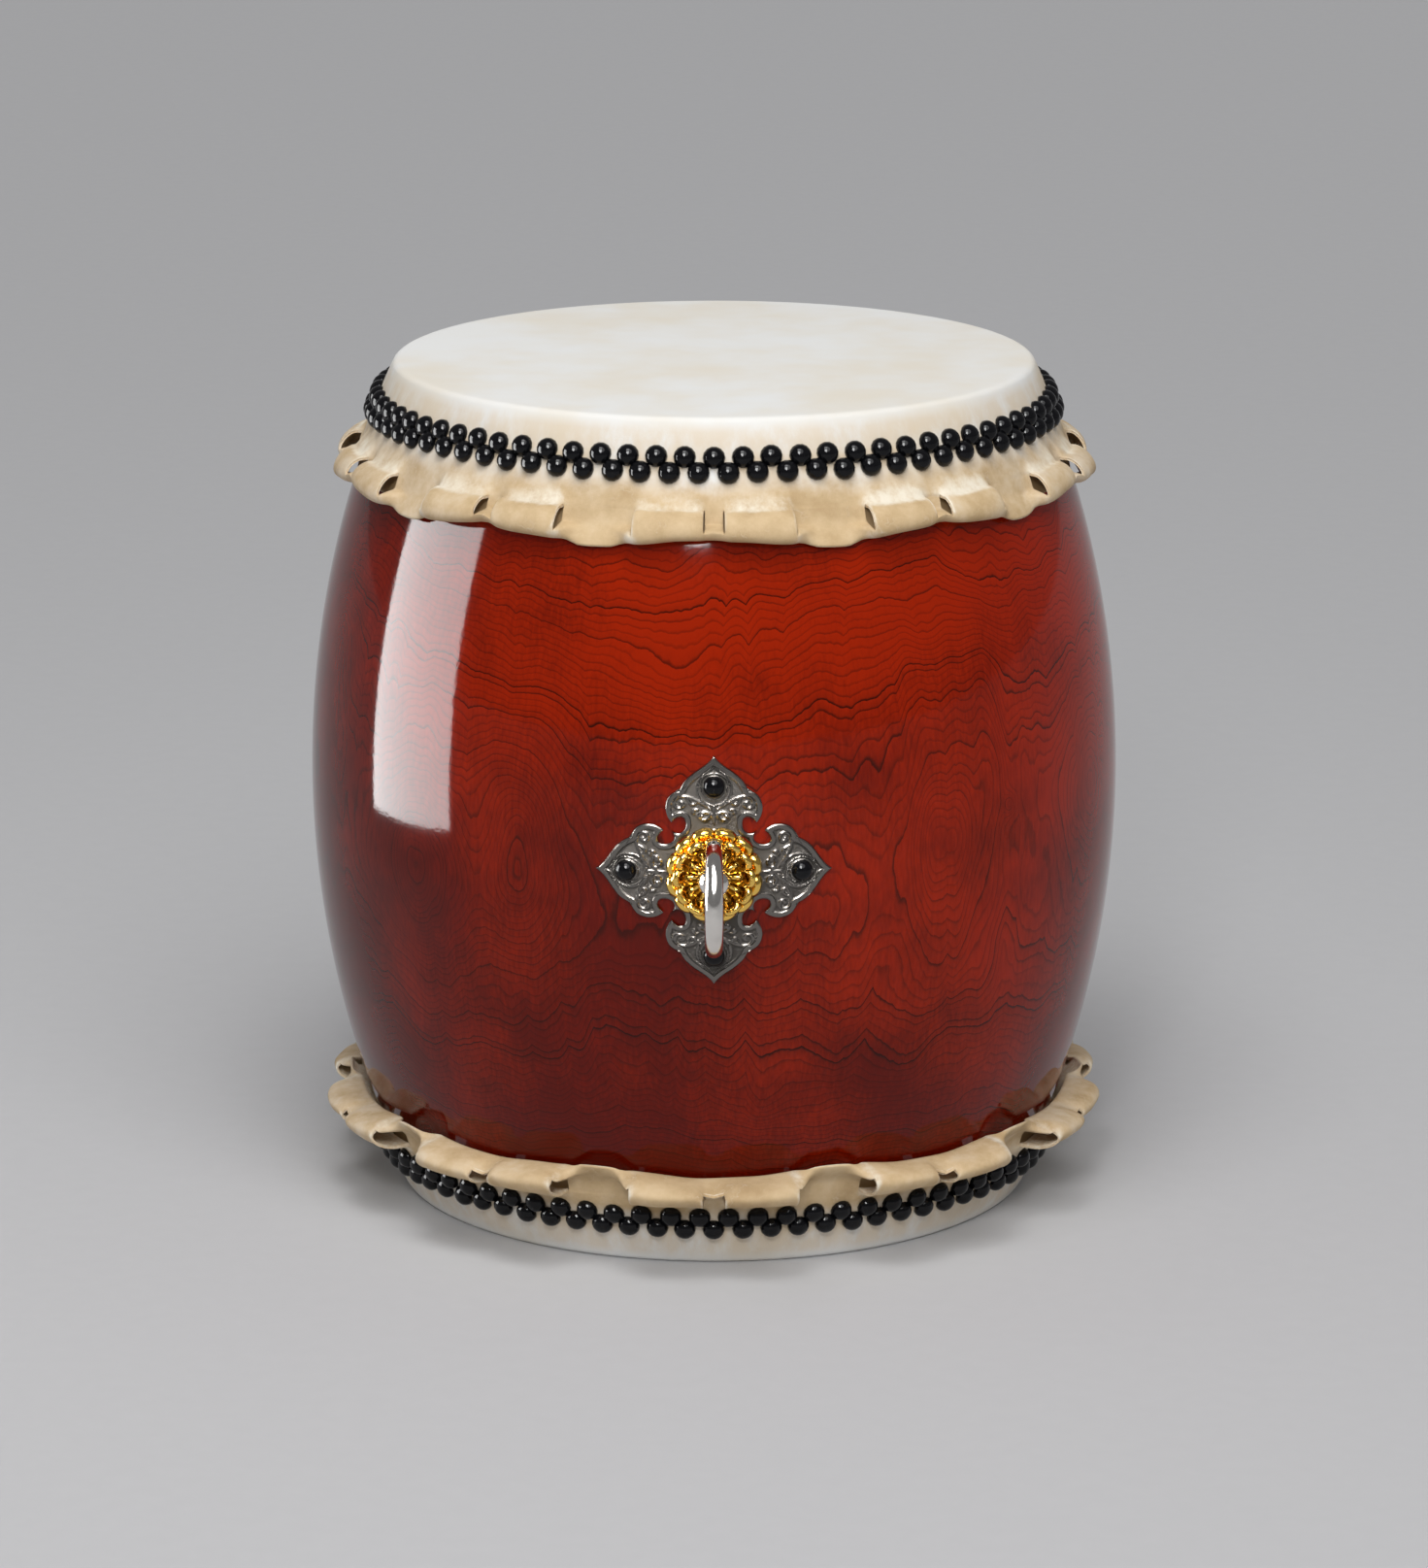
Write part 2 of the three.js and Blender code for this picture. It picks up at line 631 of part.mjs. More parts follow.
// The ring: a round bar bent in a circle, thinner in the eye than at the grip, hanging slightly.
function ringSolid() {
  const place = (step, side) => {
    const around = (2 * Math.PI * step) / ringSteps;
    const about = (2 * Math.PI * side) / ringSides;
    const grip = (1 - Math.cos(around)) / 2;
    const bar = THREE.MathUtils.lerp(ringThin, ringThick, grip) / 2;
    const reach = ringCircle + bar * Math.cos(about);
    const inwards = barBow - ringCircle + reach * Math.cos(around);
    return new THREE.Vector3(bar * Math.sin(about), inwards, reach * Math.sin(around));
  };
  const geometry = closedLoop(ringSteps, ringSides, place);
  geometry.rotateX(ringDroop);
  geometry.translate(...polar(eyeReach, 0, midHeight).toArray());
  return solidOf(geometry);
}

// A domed nail on its own axis, head upwards, with the underside of its head at zero.
function nailGeometry() {
  const head = nailDiameter / 2;
  const shank = nailShank / 2;
  const neck = nailLength - nailTip;
  return turned([
    [0, nailHeight],
    [head * domeShares[0], nailHeight * domeShares[1]],
    [head, 0],
    [shank, 0],
    [shank, -neck],
    [0, -nailLength],
  ], nailSides);
}

// One handle set at the front, or turned to the rear, with every piece a mesh of its own.
function handleSet(side, turn) {
  const set = new THREE.Group();
  set.add(piece(`${side}_cross_plate`, plateSolid(), looks.darkNickel));
  const tiers = {
    outer: [outerRosetteDiameter, outerRosetteHeight, outerPetalShares, outerRosetteFoot, outerPetalTurn],
    inner: [innerRosetteDiameter, innerRosetteHeight, innerPetalShares, innerRosetteFoot, 0],
  };
  for (const [tier, sizes] of Object.entries(tiers)) {
    set.add(piece(`${side}_${tier}_rosette`, rosetteSolid(...sizes), looks.gold));
  }
  set.add(piece(`${side}_eye_pin`, eyeSolid(), looks.silver));
  set.add(piece(`${side}_inner_washer`, washerSolid(), looks.steel));
  set.add(piece(`${side}_ring`, ringSolid(), looks.silver));
  const upwards = new THREE.Vector3(0, 0, 1);
  for (const place of nailPlaces) {
    const nail = piece(`${side}_plate_nail_${place.side}`, solidOf(nailGeometry()), looks.blackLacquer);
    nail.position.copy(alongNail(place, nailLift));
    nail.quaternion.setFromUnitVectors(upwards, place.facing);
    set.add(nail);
  }
  set.rotation.z = turn;
  return set;
}

// A skin with its tacks, over the upper end of the shell or turned over onto the lower one.
function nailedSkin(end, rollDepth) {
  const cover = new THREE.Group();
  cover.add(piece(`${end}_skin`, skinSolid(rollDepth), looks.hide));
  cover.add(piece(`${end}_tacks`, tackChain(), looks.blackLacquer));
  if (end === "lower") {
    cover.rotation.x = Math.PI;
    cover.position.z = drumHeight;
  }
  return cover;
}

const taiko = new THREE.Group();
taiko.add(piece("shell", shellSolid(), looks.lacqueredWood));
taiko.add(nailedSkin("upper", upperRollDepth));
taiko.add(nailedSkin("lower", lowerRollDepth));
taiko.add(handleSet("front", 0));
taiko.add(handleSet("rear", Math.PI));

export default taiko;
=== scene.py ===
"""The looks of a nagado taiko, the Japanese barrel drum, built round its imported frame."""

import math

import bpy
import numpy as np
from bpy.props import FloatProperty, FloatVectorProperty, IntProperty, PointerProperty
from bpy.types import Operator, Panel, PropertyGroup
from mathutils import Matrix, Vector


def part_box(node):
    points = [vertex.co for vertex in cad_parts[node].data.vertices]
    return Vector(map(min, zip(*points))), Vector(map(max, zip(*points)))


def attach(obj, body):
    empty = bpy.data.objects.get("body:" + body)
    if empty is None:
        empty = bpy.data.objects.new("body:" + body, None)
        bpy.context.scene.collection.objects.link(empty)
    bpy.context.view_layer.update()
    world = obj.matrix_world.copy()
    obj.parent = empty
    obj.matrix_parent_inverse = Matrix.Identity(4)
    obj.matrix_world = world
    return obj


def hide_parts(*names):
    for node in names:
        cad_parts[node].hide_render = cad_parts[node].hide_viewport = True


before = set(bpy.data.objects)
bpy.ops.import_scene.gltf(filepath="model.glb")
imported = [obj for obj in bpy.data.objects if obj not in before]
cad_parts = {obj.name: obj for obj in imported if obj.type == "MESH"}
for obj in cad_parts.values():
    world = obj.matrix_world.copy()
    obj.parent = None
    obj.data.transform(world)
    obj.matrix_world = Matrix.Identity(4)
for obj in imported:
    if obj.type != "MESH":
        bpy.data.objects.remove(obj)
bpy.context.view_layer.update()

bl_info = {
    "name": "Nagado Taiko",
    "version": (1, 0, 0),
    "blender": (4, 5, 0),
    "location": "3D View > Sidebar > Taiko",
    "description": "Builds a standing barrel drum with tacked hide heads and ring handles",
    "category": "Add Mesh",
}

MM = 0.001
FULL_TURN = 2 * math.pi
HEAD_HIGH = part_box("upper_skin")[1].z
BELLY_WIDE = 2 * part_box("shell")[1].x
SIDES = {"front": 0, "rear": math.pi}
UPPER_HIDE_SEED, LOWER_HIDE_SEED, UPPER_TACK_SEED, LOWER_TACK_SEED = 11, 47, 5, 6


# Sizes and colours that a user would change

def length(name, description, millimetres):
    return FloatProperty(name=name, description=description, default=millimetres * MM,
                         min=0, unit="LENGTH", precision=4)


def count(name, description, number, fewest=3):
    return IntProperty(name=name, description=description, default=number, min=fewest)


def share(name, description, part):
    return FloatProperty(name=name, description=description, default=part, min=0, max=1)


def colour(name, description, red, green, blue):
    return FloatVectorProperty(name=name, description=description, default=(red, green, blue),
                               min=0, max=1, size=3, subtype="COLOR")


class TaikoBarrel(PropertyGroup):
    """The shell and the places that the other pieces take from it"""
    height: length("Height", "From head to head, over the skins", HEAD_HIGH / MM)
    head_width: length("Head width", "Across a skin, just under its rim", 455)
    belly_width: length("Belly width", "Across the shell at its middle", BELLY_WIDE / MM)
    wall: length("Wall", "Thickness of the wall at the belly", 30)
    bearing_land: length("Bearing land", "Width of the flat that a skin is drawn over", 14)
    bearing_edge: length("Bearing edge", "Rounding of the shell's outer corner", 4)
    inner_chamfer: length("Inner chamfer", "Depth of the slope inside the mouth", 24)
    hewn_flats: count("Hewn flats", "Flats round the inside", 24)
    gap: length("Seat gap", "Between pieces that rest on each other", 0.3)


class TaikoSkin(PropertyGroup):
    """The hide, its skirt with rolled ears, and the tacks"""
    thickness: length("Hide", "Thickness of the hide", 3)
    rim: length("Rim", "Rounding of the hide over the rim", 6)
    tack_band: length("Tack band", "Depth of the stretch that is drawn tight", 49)
    slit_drop: length("Slit drop", "Depth from the head to the top of the slits", 58)
    lower_slit_drop: length("Lower slit drop", "Depth to the slits of the lower skin", 53)
    slit: length("Slit", "Height of the slits", 21)
    slit_gape: length("Slit gape", "How far a slit gapes", 2.2)
    swell: length("Swell", "How far the hide stands out above a roll", 5.5)
    hem_rise: length("Hem rise", "How much higher the hem is at an ear", 5)
    ears: count("Ears", "Ears of each skin", 10)
    ear_span: length("Ear span", "Width of an ear, with both rolls", 106)
    slot: length("Slot", "Width of the strip between two rolls", 13)
    upper_slit_share: share("Upper slit share", "How far along an upper roll a slit ends", 0.64)
    lower_slit_share: share("Lower slit share", "How far along a lower roll a slit ends", 0.76)
    upper_roll: length("Upper rolls", "How far an upper roll stands out", 13.4)
    lower_roll: length("Lower rolls", "How far a lower roll stands out", 27)
    tack_width: length("Tack width", "Across a tack's head", 15.6)
    tack_height: length("Tack height", "Height of a tack's head", 6.9)
    tack_drop: length("Tack drop", "Depth of the first row from the head", 25)
    lower_tack_drop: length("Lower tack drop", "Depth of the lower skin's first row", 29.5)
    row_step: length("Row step", "From the first row to the second", 10.6)
    tacks: count("Tacks", "Tacks of one row", 76, 8)


class TaikoFittings(PropertyGroup):
    """The cross plates, nails, rosettes, eyes and rings"""
    plate_reach: length("Plate reach", "From the middle to the tip of an arm", 80)
    plate: length("Plate", "Thickness of the plate at its border", 2.5)
    plate_lift: length("Plate lift", "Play under the plate, besides the seat gap", 0.2)
    relief: length("Relief", "Depth of the plate's field below its border", 1.4)
    border: length("Border", "Width of the plate's smooth border", 3.6)
    nail_reach: length("Nail reach", "From the middle to each nail", 59)
    nail_width: length("Nail width", "Across a nail's head", 14.7)
    nail_height: length("Nail height", "Height of a nail's head", 6.4)
    nail_shank: length("Nail shank", "Across a nail's shank", 4)
    nail_length: length("Nail length", "Length of a nail's shank", 22)
    petals: count("Petals", "Petals of each rosette", 12, 4)
    outer_width: length("Outer rosette", "Across the outer rosette", 66.7)
    outer_height: length("Outer height", "Height of the outer rosette", 11)
    inner_width: length("Inner rosette", "Across the inner rosette", 56.7)
    inner_height: length("Inner height", "Height of the inner rosette", 10.1)
    eye: length("Eye", "Across the ball that holds the ring", 22)
    eye_hole: length("Eye hole", "Across the hole that the ring runs through", 14)
    neck: length("Neck", "Across the eye's stem", 13)
    leg: length("Leg", "Thickness of each bent leg of the stem", 4)
    leg_width: length("Leg width", "Width of each bent leg", 9)
    leg_reach: length("Leg reach", "From the stem's axis to the tip of a leg", 40)
    ring_width: length("Ring", "Across the whole ring", 79)
    ring_thin: length("Ring in the eye", "Thickness of the bar in the eye", 9.7)
    ring_thick: length("Ring at the grip", "Thickness of the bar opposite the eye", 12.7)


class TaikoColours(PropertyGroup):
    """The colours of every finish"""
    wood_light: colour("Wood, light", "Lacquered wood between the grain lines", 0.31, 0.013, 0.0)
    wood_dark: colour("Wood, dark", "Lacquered wood in its darker clouds", 0.105, 0.0035, 0.0)
    wood_line: colour("Grain line", "The dark line of each growth ring", 0.018, 0.002, 0.0)
    bare_wood: colour("Bare wood", "Wood of the hewn inside", 0.42, 0.24, 0.11)
    head: colour("Head", "Hide on the playing face", 0.77, 0.77, 0.755)
    head_warm: colour("Head, warm", "The warmer clouds of the playing face", 0.74, 0.69, 0.60)
    skirt: colour("Skirt", "Hide below the tacks", 0.64, 0.48, 0.285)
    skirt_dark: colour("Skirt, dark", "The darker clouds of the skirt", 0.47, 0.325, 0.17)
    # Pale hide: stretched hide, creases, fibres of the flesh side, and the painted highlight on the rolls
    pale_and_highlight: colour("Stretched hide", "Hide where it is stretched pale", 0.80, 0.73, 0.60)
    flesh: colour("Flesh side", "Inside of the rolls", 0.66, 0.50, 0.31)
    black: colour("Black lacquer", "Tacks and nails", 0.004, 0.004, 0.005)
    nickel: colour("Black nickel", "The cross plates", 0.19, 0.175, 0.16)
    # The punched field's colour is painted shade of its stipple
    nickel_field_shade: colour("Nickel field", "The punched field of the plates", 0.035, 0.031, 0.027)
    gold: colour("Gold", "The rosettes", 0.92, 0.60, 0.14)
    # The rosettes' hollows: toning of the gold and painted shade
    gold_hollow_shade: colour("Gold, hollows", "The toned hollows of the rosettes", 0.26, 0.12, 0.012)
    silver: colour("Silver", "The eyes and rings", 0.78, 0.75, 0.71)
    steel: colour("Steel", "The washers inside", 0.45, 0.45, 0.46)
    floor: colour("Floor", "The studio floor", 0.56, 0.56, 0.57)
    air: colour("Air", "The even light of the studio", 0.19, 0.19, 0.193)


GROUPS = {"taiko_barrel": TaikoBarrel, "taiko_skin": TaikoSkin,
          "taiko_fittings": TaikoFittings, "taiko_colours": TaikoColours}


# Shader maths

class Term:
    """One socket of a material. Python's operators on it add Math nodes."""

    def __init__(self, finish, socket):
        self.finish = finish
        self.socket = socket

    def maths(self, operation, *terms):
        return self.finish.node("ShaderNodeMath", {"operation": operation}, dict(enumerate(terms)))

    def __add__(self, other):
        return self.maths("ADD", self, other)

    def __radd__(self, other):
        return self.maths("ADD", other, self)

    def __sub__(self, other):
        return self.maths("SUBTRACT", self, other)

    def __rsub__(self, other):
        return self.maths("SUBTRACT", other, self)

    def __mul__(self, other):
        return self.maths("MULTIPLY", self, other)

    def __truediv__(self, other):
        return self.maths("DIVIDE", self, other)

    def __rtruediv__(self, other):
        return self.maths("DIVIDE", other, self)

    def __pow__(self, other):
        return self.maths("POWER", self, other)

    def __abs__(self):
        return self.maths("ABSOLUTE", self)

    def whole(self):
        """The whole number at or below this."""
        return self.maths("FLOOR", self)

    def fraction(self):
        """How far this is past that number."""
        return self.maths("FRACT", self)

    def between(self, low, high):
        """Gives low where this is 0 and high where it is 1."""
        return self * (high - low) + low

    def ramp(self, low, high):
        """Rises smoothly from 0 where this is low to 1 where it is high."""
        return self.finish.node("ShaderNodeMapRange", {"interpolation_type": "SMOOTHSTEP"},
                                {"Value": self, "From Min": low, "From Max": high})


class Finish:
    """A material under construction, with its coordinates and its surface shader."""

    def __init__(self, name, **constants):
        self.material = bpy.data.materials.new(name)
        self.material.use_nodes = True
        self.tree = self.material.node_tree
        self.surface = self.tree.nodes["Principled BSDF"]
        self.wear(**constants)

    def feed(self, socket, value):
        """Links a term to a socket, or sets a number or a colour on it."""
        if isinstance(value, Term):
            self.tree.links.new(value.socket, socket)
        elif socket.type == "RGBA":
            socket.default_value = (*value, 1)
        else:
            socket.default_value = value

    def node(self, kind, settings, sockets, output=0):
        """Adds a node: its settings first, then the values or links of its sockets."""
        made = self.tree.nodes.new(kind)
        for key, value in settings.items():
            setattr(made, key, value)
        for key, value in sockets.items():
            self.feed(made.inputs[key], value)
        return Term(self, made.outputs[output])

    def place(self):
        return self.node("ShaderNodeTexCoord", {}, {}, "Object")

    def parts(self, vector, axes):
        """The parts of a vector along the axes that are named."""
        return [self.node("ShaderNodeSeparateXYZ", {}, {0: vector}, axis) for axis in axes]

    def scaled(self, vector, shares):
        return self.node("ShaderNodeVectorMath", {"operation": "MULTIPLY"}, {0: vector, 1: shares})

    def noise(self, place, scale, detail=2, roughness=0.5, height_share=1):
        """Random clouds between about 0 and 1, with scale of them to a metre. They are drawn out up the
        drum where only a share of the height counts."""
        if height_share != 1:
            place = self.scaled(place, (1, 1, height_share))
        return self.node("ShaderNodeTexNoise", {},
                         {"Vector": place, "Scale": scale, "Detail": detail, "Roughness": roughness})

    def sway(self, place, **pattern):
        """The same clouds about zero, between about -1/2 and 1/2."""
        return self.noise(place, **pattern) - 0.5

    def painted(self, name):
        """An attribute of the mesh's points."""
        return self.node("ShaderNodeAttribute", {"attribute_name": name}, {}, "Fac")

    def mix(self, blend, first, second):
        """The first colour where the blend is 0 and the second where it is 1."""
        made = self.tree.nodes.new("ShaderNodeMix")
        made.data_type = "RGBA"
        named = {socket.identifier: socket for socket in (*made.inputs, *made.outputs)}
        self.feed(named["Factor_Float"], blend)
        self.feed(named["A_Color"], first)
        self.feed(named["B_Color"], second)
        return Term(self, named["Result_Color"])

    def bump(self, height, distance):
        """Raises the surface by up to a distance where the height is 1."""
        self.wear(Normal=self.node("ShaderNodeBump", {}, {"Height": height, "Distance": distance}))

    def wear(self, **sockets):
        """Gives the surface shader's sockets their values or what varies over the surface."""
        for socket, value in sockets.items():
            self.feed(self.surface.inputs[socket.replace("_", " ")], value)
        return self.material


# Materials

# Hills in the growth rings: degrees from the front, then height, width, tallness and rise in millimetres
GRAIN_HILLS = (
    (-45, 279, 62, 100, 24),
    (-27, 300, 34, 85, 15),
    (33, 300, 40, 90, 14),
    (45, 325, 8, 10, 6),
    (45, 470, 9, 130, -12),
    (45, 150, 9, 110, -9),
    (66, 330, 40, 90, 10),
    (-8, 430, 90, 60, -6),
    (-70, 430, 50, 70, 10),
    (5, 120, 110, 40, 5),
    (120, 290, 75, 110, 24),
    (-120, 330, 60, 90, 20),
    (180, 240, 80, 90, -12),
    (155, 400, 30, 40, 9),
)
RING_PITCH = 1.15 * MM
CLOUD_RISE, FIGURE_DIP, RIPPLE_DIP, FINE_RISE = 22 * MM, 10 * MM, 1.6 * MM, 0.3 * MM


def turned_place(degrees, height):
    """A point on the belly at an angle from the front and a height."""
    angle, reach = math.radians(degrees), BELLY_WIDE / 2
    return reach * math.sin(angle), -reach * math.cos(angle), height


def grain_hill(finish, place, degrees, *millimetres):
    """A hill in the growth rings: rise / (1 + (a / wide)^2 + (b / tall)^2)^2 about a point of the belly."""
    height, wide, tall, rise = (size * MM for size in millimetres)
    away = finish.node("ShaderNodeVectorMath", {"operation": "SUBTRACT"},
                       {0: place, 1: turned_place(degrees, height)})
    spread = finish.scaled(away, (1 / wide, 1 / wide, 1 / tall))
    far = finish.node("ShaderNodeVectorMath", {"operation": "LENGTH"}, {0: spread}, "Value")
    return rise / (1 + far * far) ** 2


def grain_rings(finish, place):
    """Number of the growth ring at a point: its distance from the log's pith over the ring pitch. The
    distance is the radius with hills, broad clouds and ripples that dip sharply between round crests."""
    x, y = finish.parts(place, "XY")
    distance = (x * x + y * y) ** 0.5
    for hill in GRAIN_HILLS:
        distance = distance + grain_hill(finish, place, *hill)
    clouds = finish.sway(place, scale=6)
    figure = abs(finish.sway(place, scale=26, detail=1, height_share=0.07))
    ripples = abs(finish.sway(place, scale=75, detail=1, height_share=0.1))
    fine = finish.sway(place, scale=300, height_share=0.5)
    distance = distance + clouds * CLOUD_RISE + figure * FIGURE_DIP + ripples * RIPPLE_DIP + fine * FINE_RISE
    return distance / RING_PITCH


# The lacquer's tones, with painted light that makes them lighter by so much a metre to the right and up, and
# its bare band
CLOUD_TONE, STREAK_TONE, PAINTED_LIGHT_RIGHT, PAINTED_LIGHT_UP = 1.6, 0.7, 0.7, 1.6
DARK_TONE, LIGHT_TONE = 1.17, 2.17
YEAR_STEP = 0.37
BARE_ABOVE, BARE_BELOW, BARE_EDGE, BARE_MATT = HEAD_HIGH - 77 * MM, 65 * MM, 0.4 * MM, 0.5
PEEL_DEPTH = 0.018 * MM


def lacquered_wood(colours):
    """Clear lacquer over figured wood: thin dark lines where the barrel cuts the growth rings, bolder
    ones in groups, clouds of lighter wood, painted light that makes it lighter to the right and up,
    and the bare band that the hide is drawn over."""
    finish = Finish("lacquered_wood", IOR=1.3)
    place = finish.place()
    x, z = finish.parts(place, "XZ")
    rings = grain_rings(finish, place)
    within, number = rings.fraction(), rings.whole()
    season = finish.node("ShaderNodeTexWhiteNoise", {"noise_dimensions": "1D"}, {"W": number})
    years = finish.node("ShaderNodeTexNoise", {"noise_dimensions": "1D"},
                        {"W": number * YEAR_STEP, "Scale": 1})
    bold = years.ramp(0.42, 0.66) * season.between(0.2, 1)
    line = within.ramp(0.66, 0.94) * (1 - within.ramp(0.94, 1)) * bold.between(0.26, 0.98)
    soft = within * bold.between(0.06, 0.32)
    cloud = finish.noise(place, scale=9, detail=3, roughness=0.6)
    streak = finish.noise(place, scale=420, detail=3, roughness=0.6, height_share=0.2)
    # Painted light: the wood grows lighter to the right and up, as the light falls
    tone = cloud * CLOUD_TONE + streak * STREAK_TONE + x * PAINTED_LIGHT_RIGHT + z * PAINTED_LIGHT_UP
    ground = finish.mix(tone.ramp(DARK_TONE, LIGHT_TONE), colours.wood_dark, colours.wood_light)
    shaded = finish.mix(soft, ground, colours.wood_line)
    lined = finish.mix(line, shaded, colours.wood_line)
    bare = z.ramp(BARE_ABOVE, BARE_ABOVE + BARE_EDGE) + 1 - z.ramp(BARE_BELOW - BARE_EDGE, BARE_BELOW)
    finish.bump(finish.noise(place, scale=330, detail=1), PEEL_DEPTH)
    return finish.wear(Base_Color=finish.mix(bare, lined, colours.skirt_dark),
                       Roughness=streak.between(0.045, 0.075) + bare * BARE_MATT)


RING_SHADE, FIBRE_SHADE, FIBRE_DEPTH = 0.5, 0.3, 0.2 * MM


def bare_wood(colours):
    """Planed pale wood with long fibres and faint growth rings."""
    finish = Finish("bare_wood")
    place = finish.place()
    within = grain_rings(finish, place).fraction()
    fibre = finish.noise(place, scale=400, detail=3, height_share=0.06)
    shade = within ** 3 * RING_SHADE + fibre * FIBRE_SHADE
    finish.bump(fibre, FIBRE_DEPTH)
    return finish.wear(Base_Color=finish.mix(shade, colours.bare_wood, colours.wood_dark),
                       Roughness=fibre.between(0.62, 0.82))


# The hide: how strong its stains and creases are, what tears its colours' edges, and its relief
STAIN_STRENGTH, CREASE_STRENGTH, SKIRT_GLOSS = 0.85, 0.35, 0.16
TAN_PATCHES, TAN_PORES, SKIRT_PATCHES, PALE_AND_HIGHLIGHT_WEIGHT, TEAR_WEIGHT = 2, 0.3, 0.9, 1.5, 2.6
PORE_RELIEF, PATCH_RELIEF, TORN_RELIEF, FLESH_RELIEF, CREASE_RELIEF = 0.2, 0.8, 0.5, 0.9, 0.4
HIDE_DEPTH = 0.4 * MM


def rawhide(colours):
    """Dry hide: white on the head, stained by the tacks, tan down the skirt with sides paler as painted
    light, pale and fibrous where it is stretched and where highlight is painted on the rolls, and
    brown and rough on the flesh side inside the rolls."""
    finish = Finish("rawhide", Specular_IOR_Level=0.14)
    place = finish.place()
    skirt, pale_and_highlight, stain, hidden = (finish.painted(name) for name in ("skirt", "pale_and_highlight", "stain", "hidden"))
    broad = finish.noise(place, scale=9, detail=3, roughness=0.6)
    patch = finish.noise(place, scale=34, detail=4, roughness=0.65)
    pore = finish.noise(place, scale=1100, roughness=0.6)
    fibre = finish.noise(place, scale=420, detail=4, roughness=0.7, height_share=0.45)
    run = finish.noise(place, scale=55, detail=4, roughness=0.65, height_share=0.25)
    ragged = finish.sway(place, scale=75, detail=5, roughness=0.7, height_share=0.6)
    vein = abs(finish.sway(place, scale=60, detail=3, roughness=0.6))
    crease = (1 - vein.ramp(0, 0.018)) * patch.ramp(0.5, 0.7) * skirt
    # Pale patches with ragged edges: stretched hide, and painted highlight over the rolls' shoulders, along
    # the slits and at the folds
    torn = (pale_and_highlight * PALE_AND_HIGHLIGHT_WEIGHT + ragged * TEAR_WEIGHT).ramp(0.2, 1.45) * pale_and_highlight.ramp(0, 0.6)
    head = finish.mix(broad.ramp(1 / 3, 3 / 4), colours.head, colours.head_warm)
    stained = finish.mix(stain * run.ramp(0.22, 0.6) * STAIN_STRENGTH, head, colours.skirt)
    darker_skirt = (patch * TAN_PATCHES + pore * TAN_PORES).ramp(0.7, 1.7)
    tan = finish.mix(darker_skirt, colours.skirt, colours.skirt_dark)
    ground = finish.mix((skirt + patch * SKIRT_PATCHES).ramp(0.7, 1.4), stained, tan)
    pale = finish.mix(torn, ground, colours.pale_and_highlight)
    creased = finish.mix(crease * CREASE_STRENGTH, pale, colours.pale_and_highlight)
    flesh = finish.mix(fibre.ramp(0.3, 0.7), colours.pale_and_highlight, colours.flesh)
    fibres = fibre * (torn * TORN_RELIEF + hidden * FLESH_RELIEF)
    finish.bump(pore * PORE_RELIEF + patch * PATCH_RELIEF + fibres + crease * CREASE_RELIEF, HIDE_DEPTH)
    return finish.wear(Base_Color=finish.mix(hidden, creased, flesh),
                       Roughness=patch.between(0.74, 0.9) - skirt * SKIRT_GLOSS)


DUST_STRENGTH, HAZE_DEPTH = 0.04, 0.04 * MM


def black_lacquer(colours):
    """Deep black gloss with faint specks of dust."""
    finish = Finish("black_lacquer", IOR=1.3)
    place = finish.place()
    dust = finish.noise(place, scale=1400).ramp(0.66, 0.8)
    haze = finish.noise(place, scale=160)
    finish.bump(haze, HAZE_DEPTH)
    return finish.wear(Base_Color=finish.mix(dust * DUST_STRENGTH, colours.black, colours.head),
                       Roughness=haze.between(0.04, 0.08))


# How much darker the punched field is painted, as painted shade of its stipple, how much rougher it is, and
# how deep it is punched
FIELD_SHADE_STRENGTH, FIELD_MATT, PUNCH_DEPTH = 0.6, 0.12, 0.35 * MM


def black_nickel(colours):
    """Dark plated metal: a smooth border and veins, and a punched field between them, painted darker
    as painted shade of its stipple.
    """
    finish = Finish("black_nickel", Metallic=1)
    place = finish.place()
    punch = finish.node("ShaderNodeTexVoronoi", {}, {"Vector": place, "Scale": 1700})
    broad = finish.noise(place, scale=45, detail=3)
    low = 1 - finish.painted("raised").ramp(0.1, 0.6)
    finish.bump(punch * low, PUNCH_DEPTH)
    # Painted shade: the low punched field is painted darker than the border and veins
    return finish.wear(Base_Color=finish.mix(low * FIELD_SHADE_STRENGTH, colours.nickel, colours.nickel_field_shade),
                       Roughness=broad.between(0.17, 0.29) + low * FIELD_MATT)


TARNISH_STRENGTH, TARNISH_SHADE, FLOOR_SHADE = 0.5, 0.8, 0.96
GOLD_SCRATCH, SILVER_SCRATCH, STEEL_SCRATCH = 0.01 * MM, 0.006 * MM, 0.05 * MM


def shaded(tint, shade):
    """A share of a colour."""
    return [shade * channel for channel in tint]


def plated(name, tint, scratch, toned_and_shaded=None):
    """Polished plating with hairline scratches and a slight haze, and, where a colour for its hollows is
    given, darker there as toning of the metal and painted shade.
    """
    finish = Finish(name, Metallic=1)
    place = finish.place()
    haze = finish.noise(place, scale=70, detail=3)
    metal = finish.mix(haze.ramp(0.45, 0.75) * TARNISH_STRENGTH, tint, shaded(tint, TARNISH_SHADE))
    if toned_and_shaded:
        metal = finish.mix(finish.painted("hollow"), metal, toned_and_shaded)
    finish.bump(finish.noise(place, scale=420, height_share=9), scratch)
    return finish.wear(Base_Color=metal, Roughness=haze.between(0.05, 0.14))


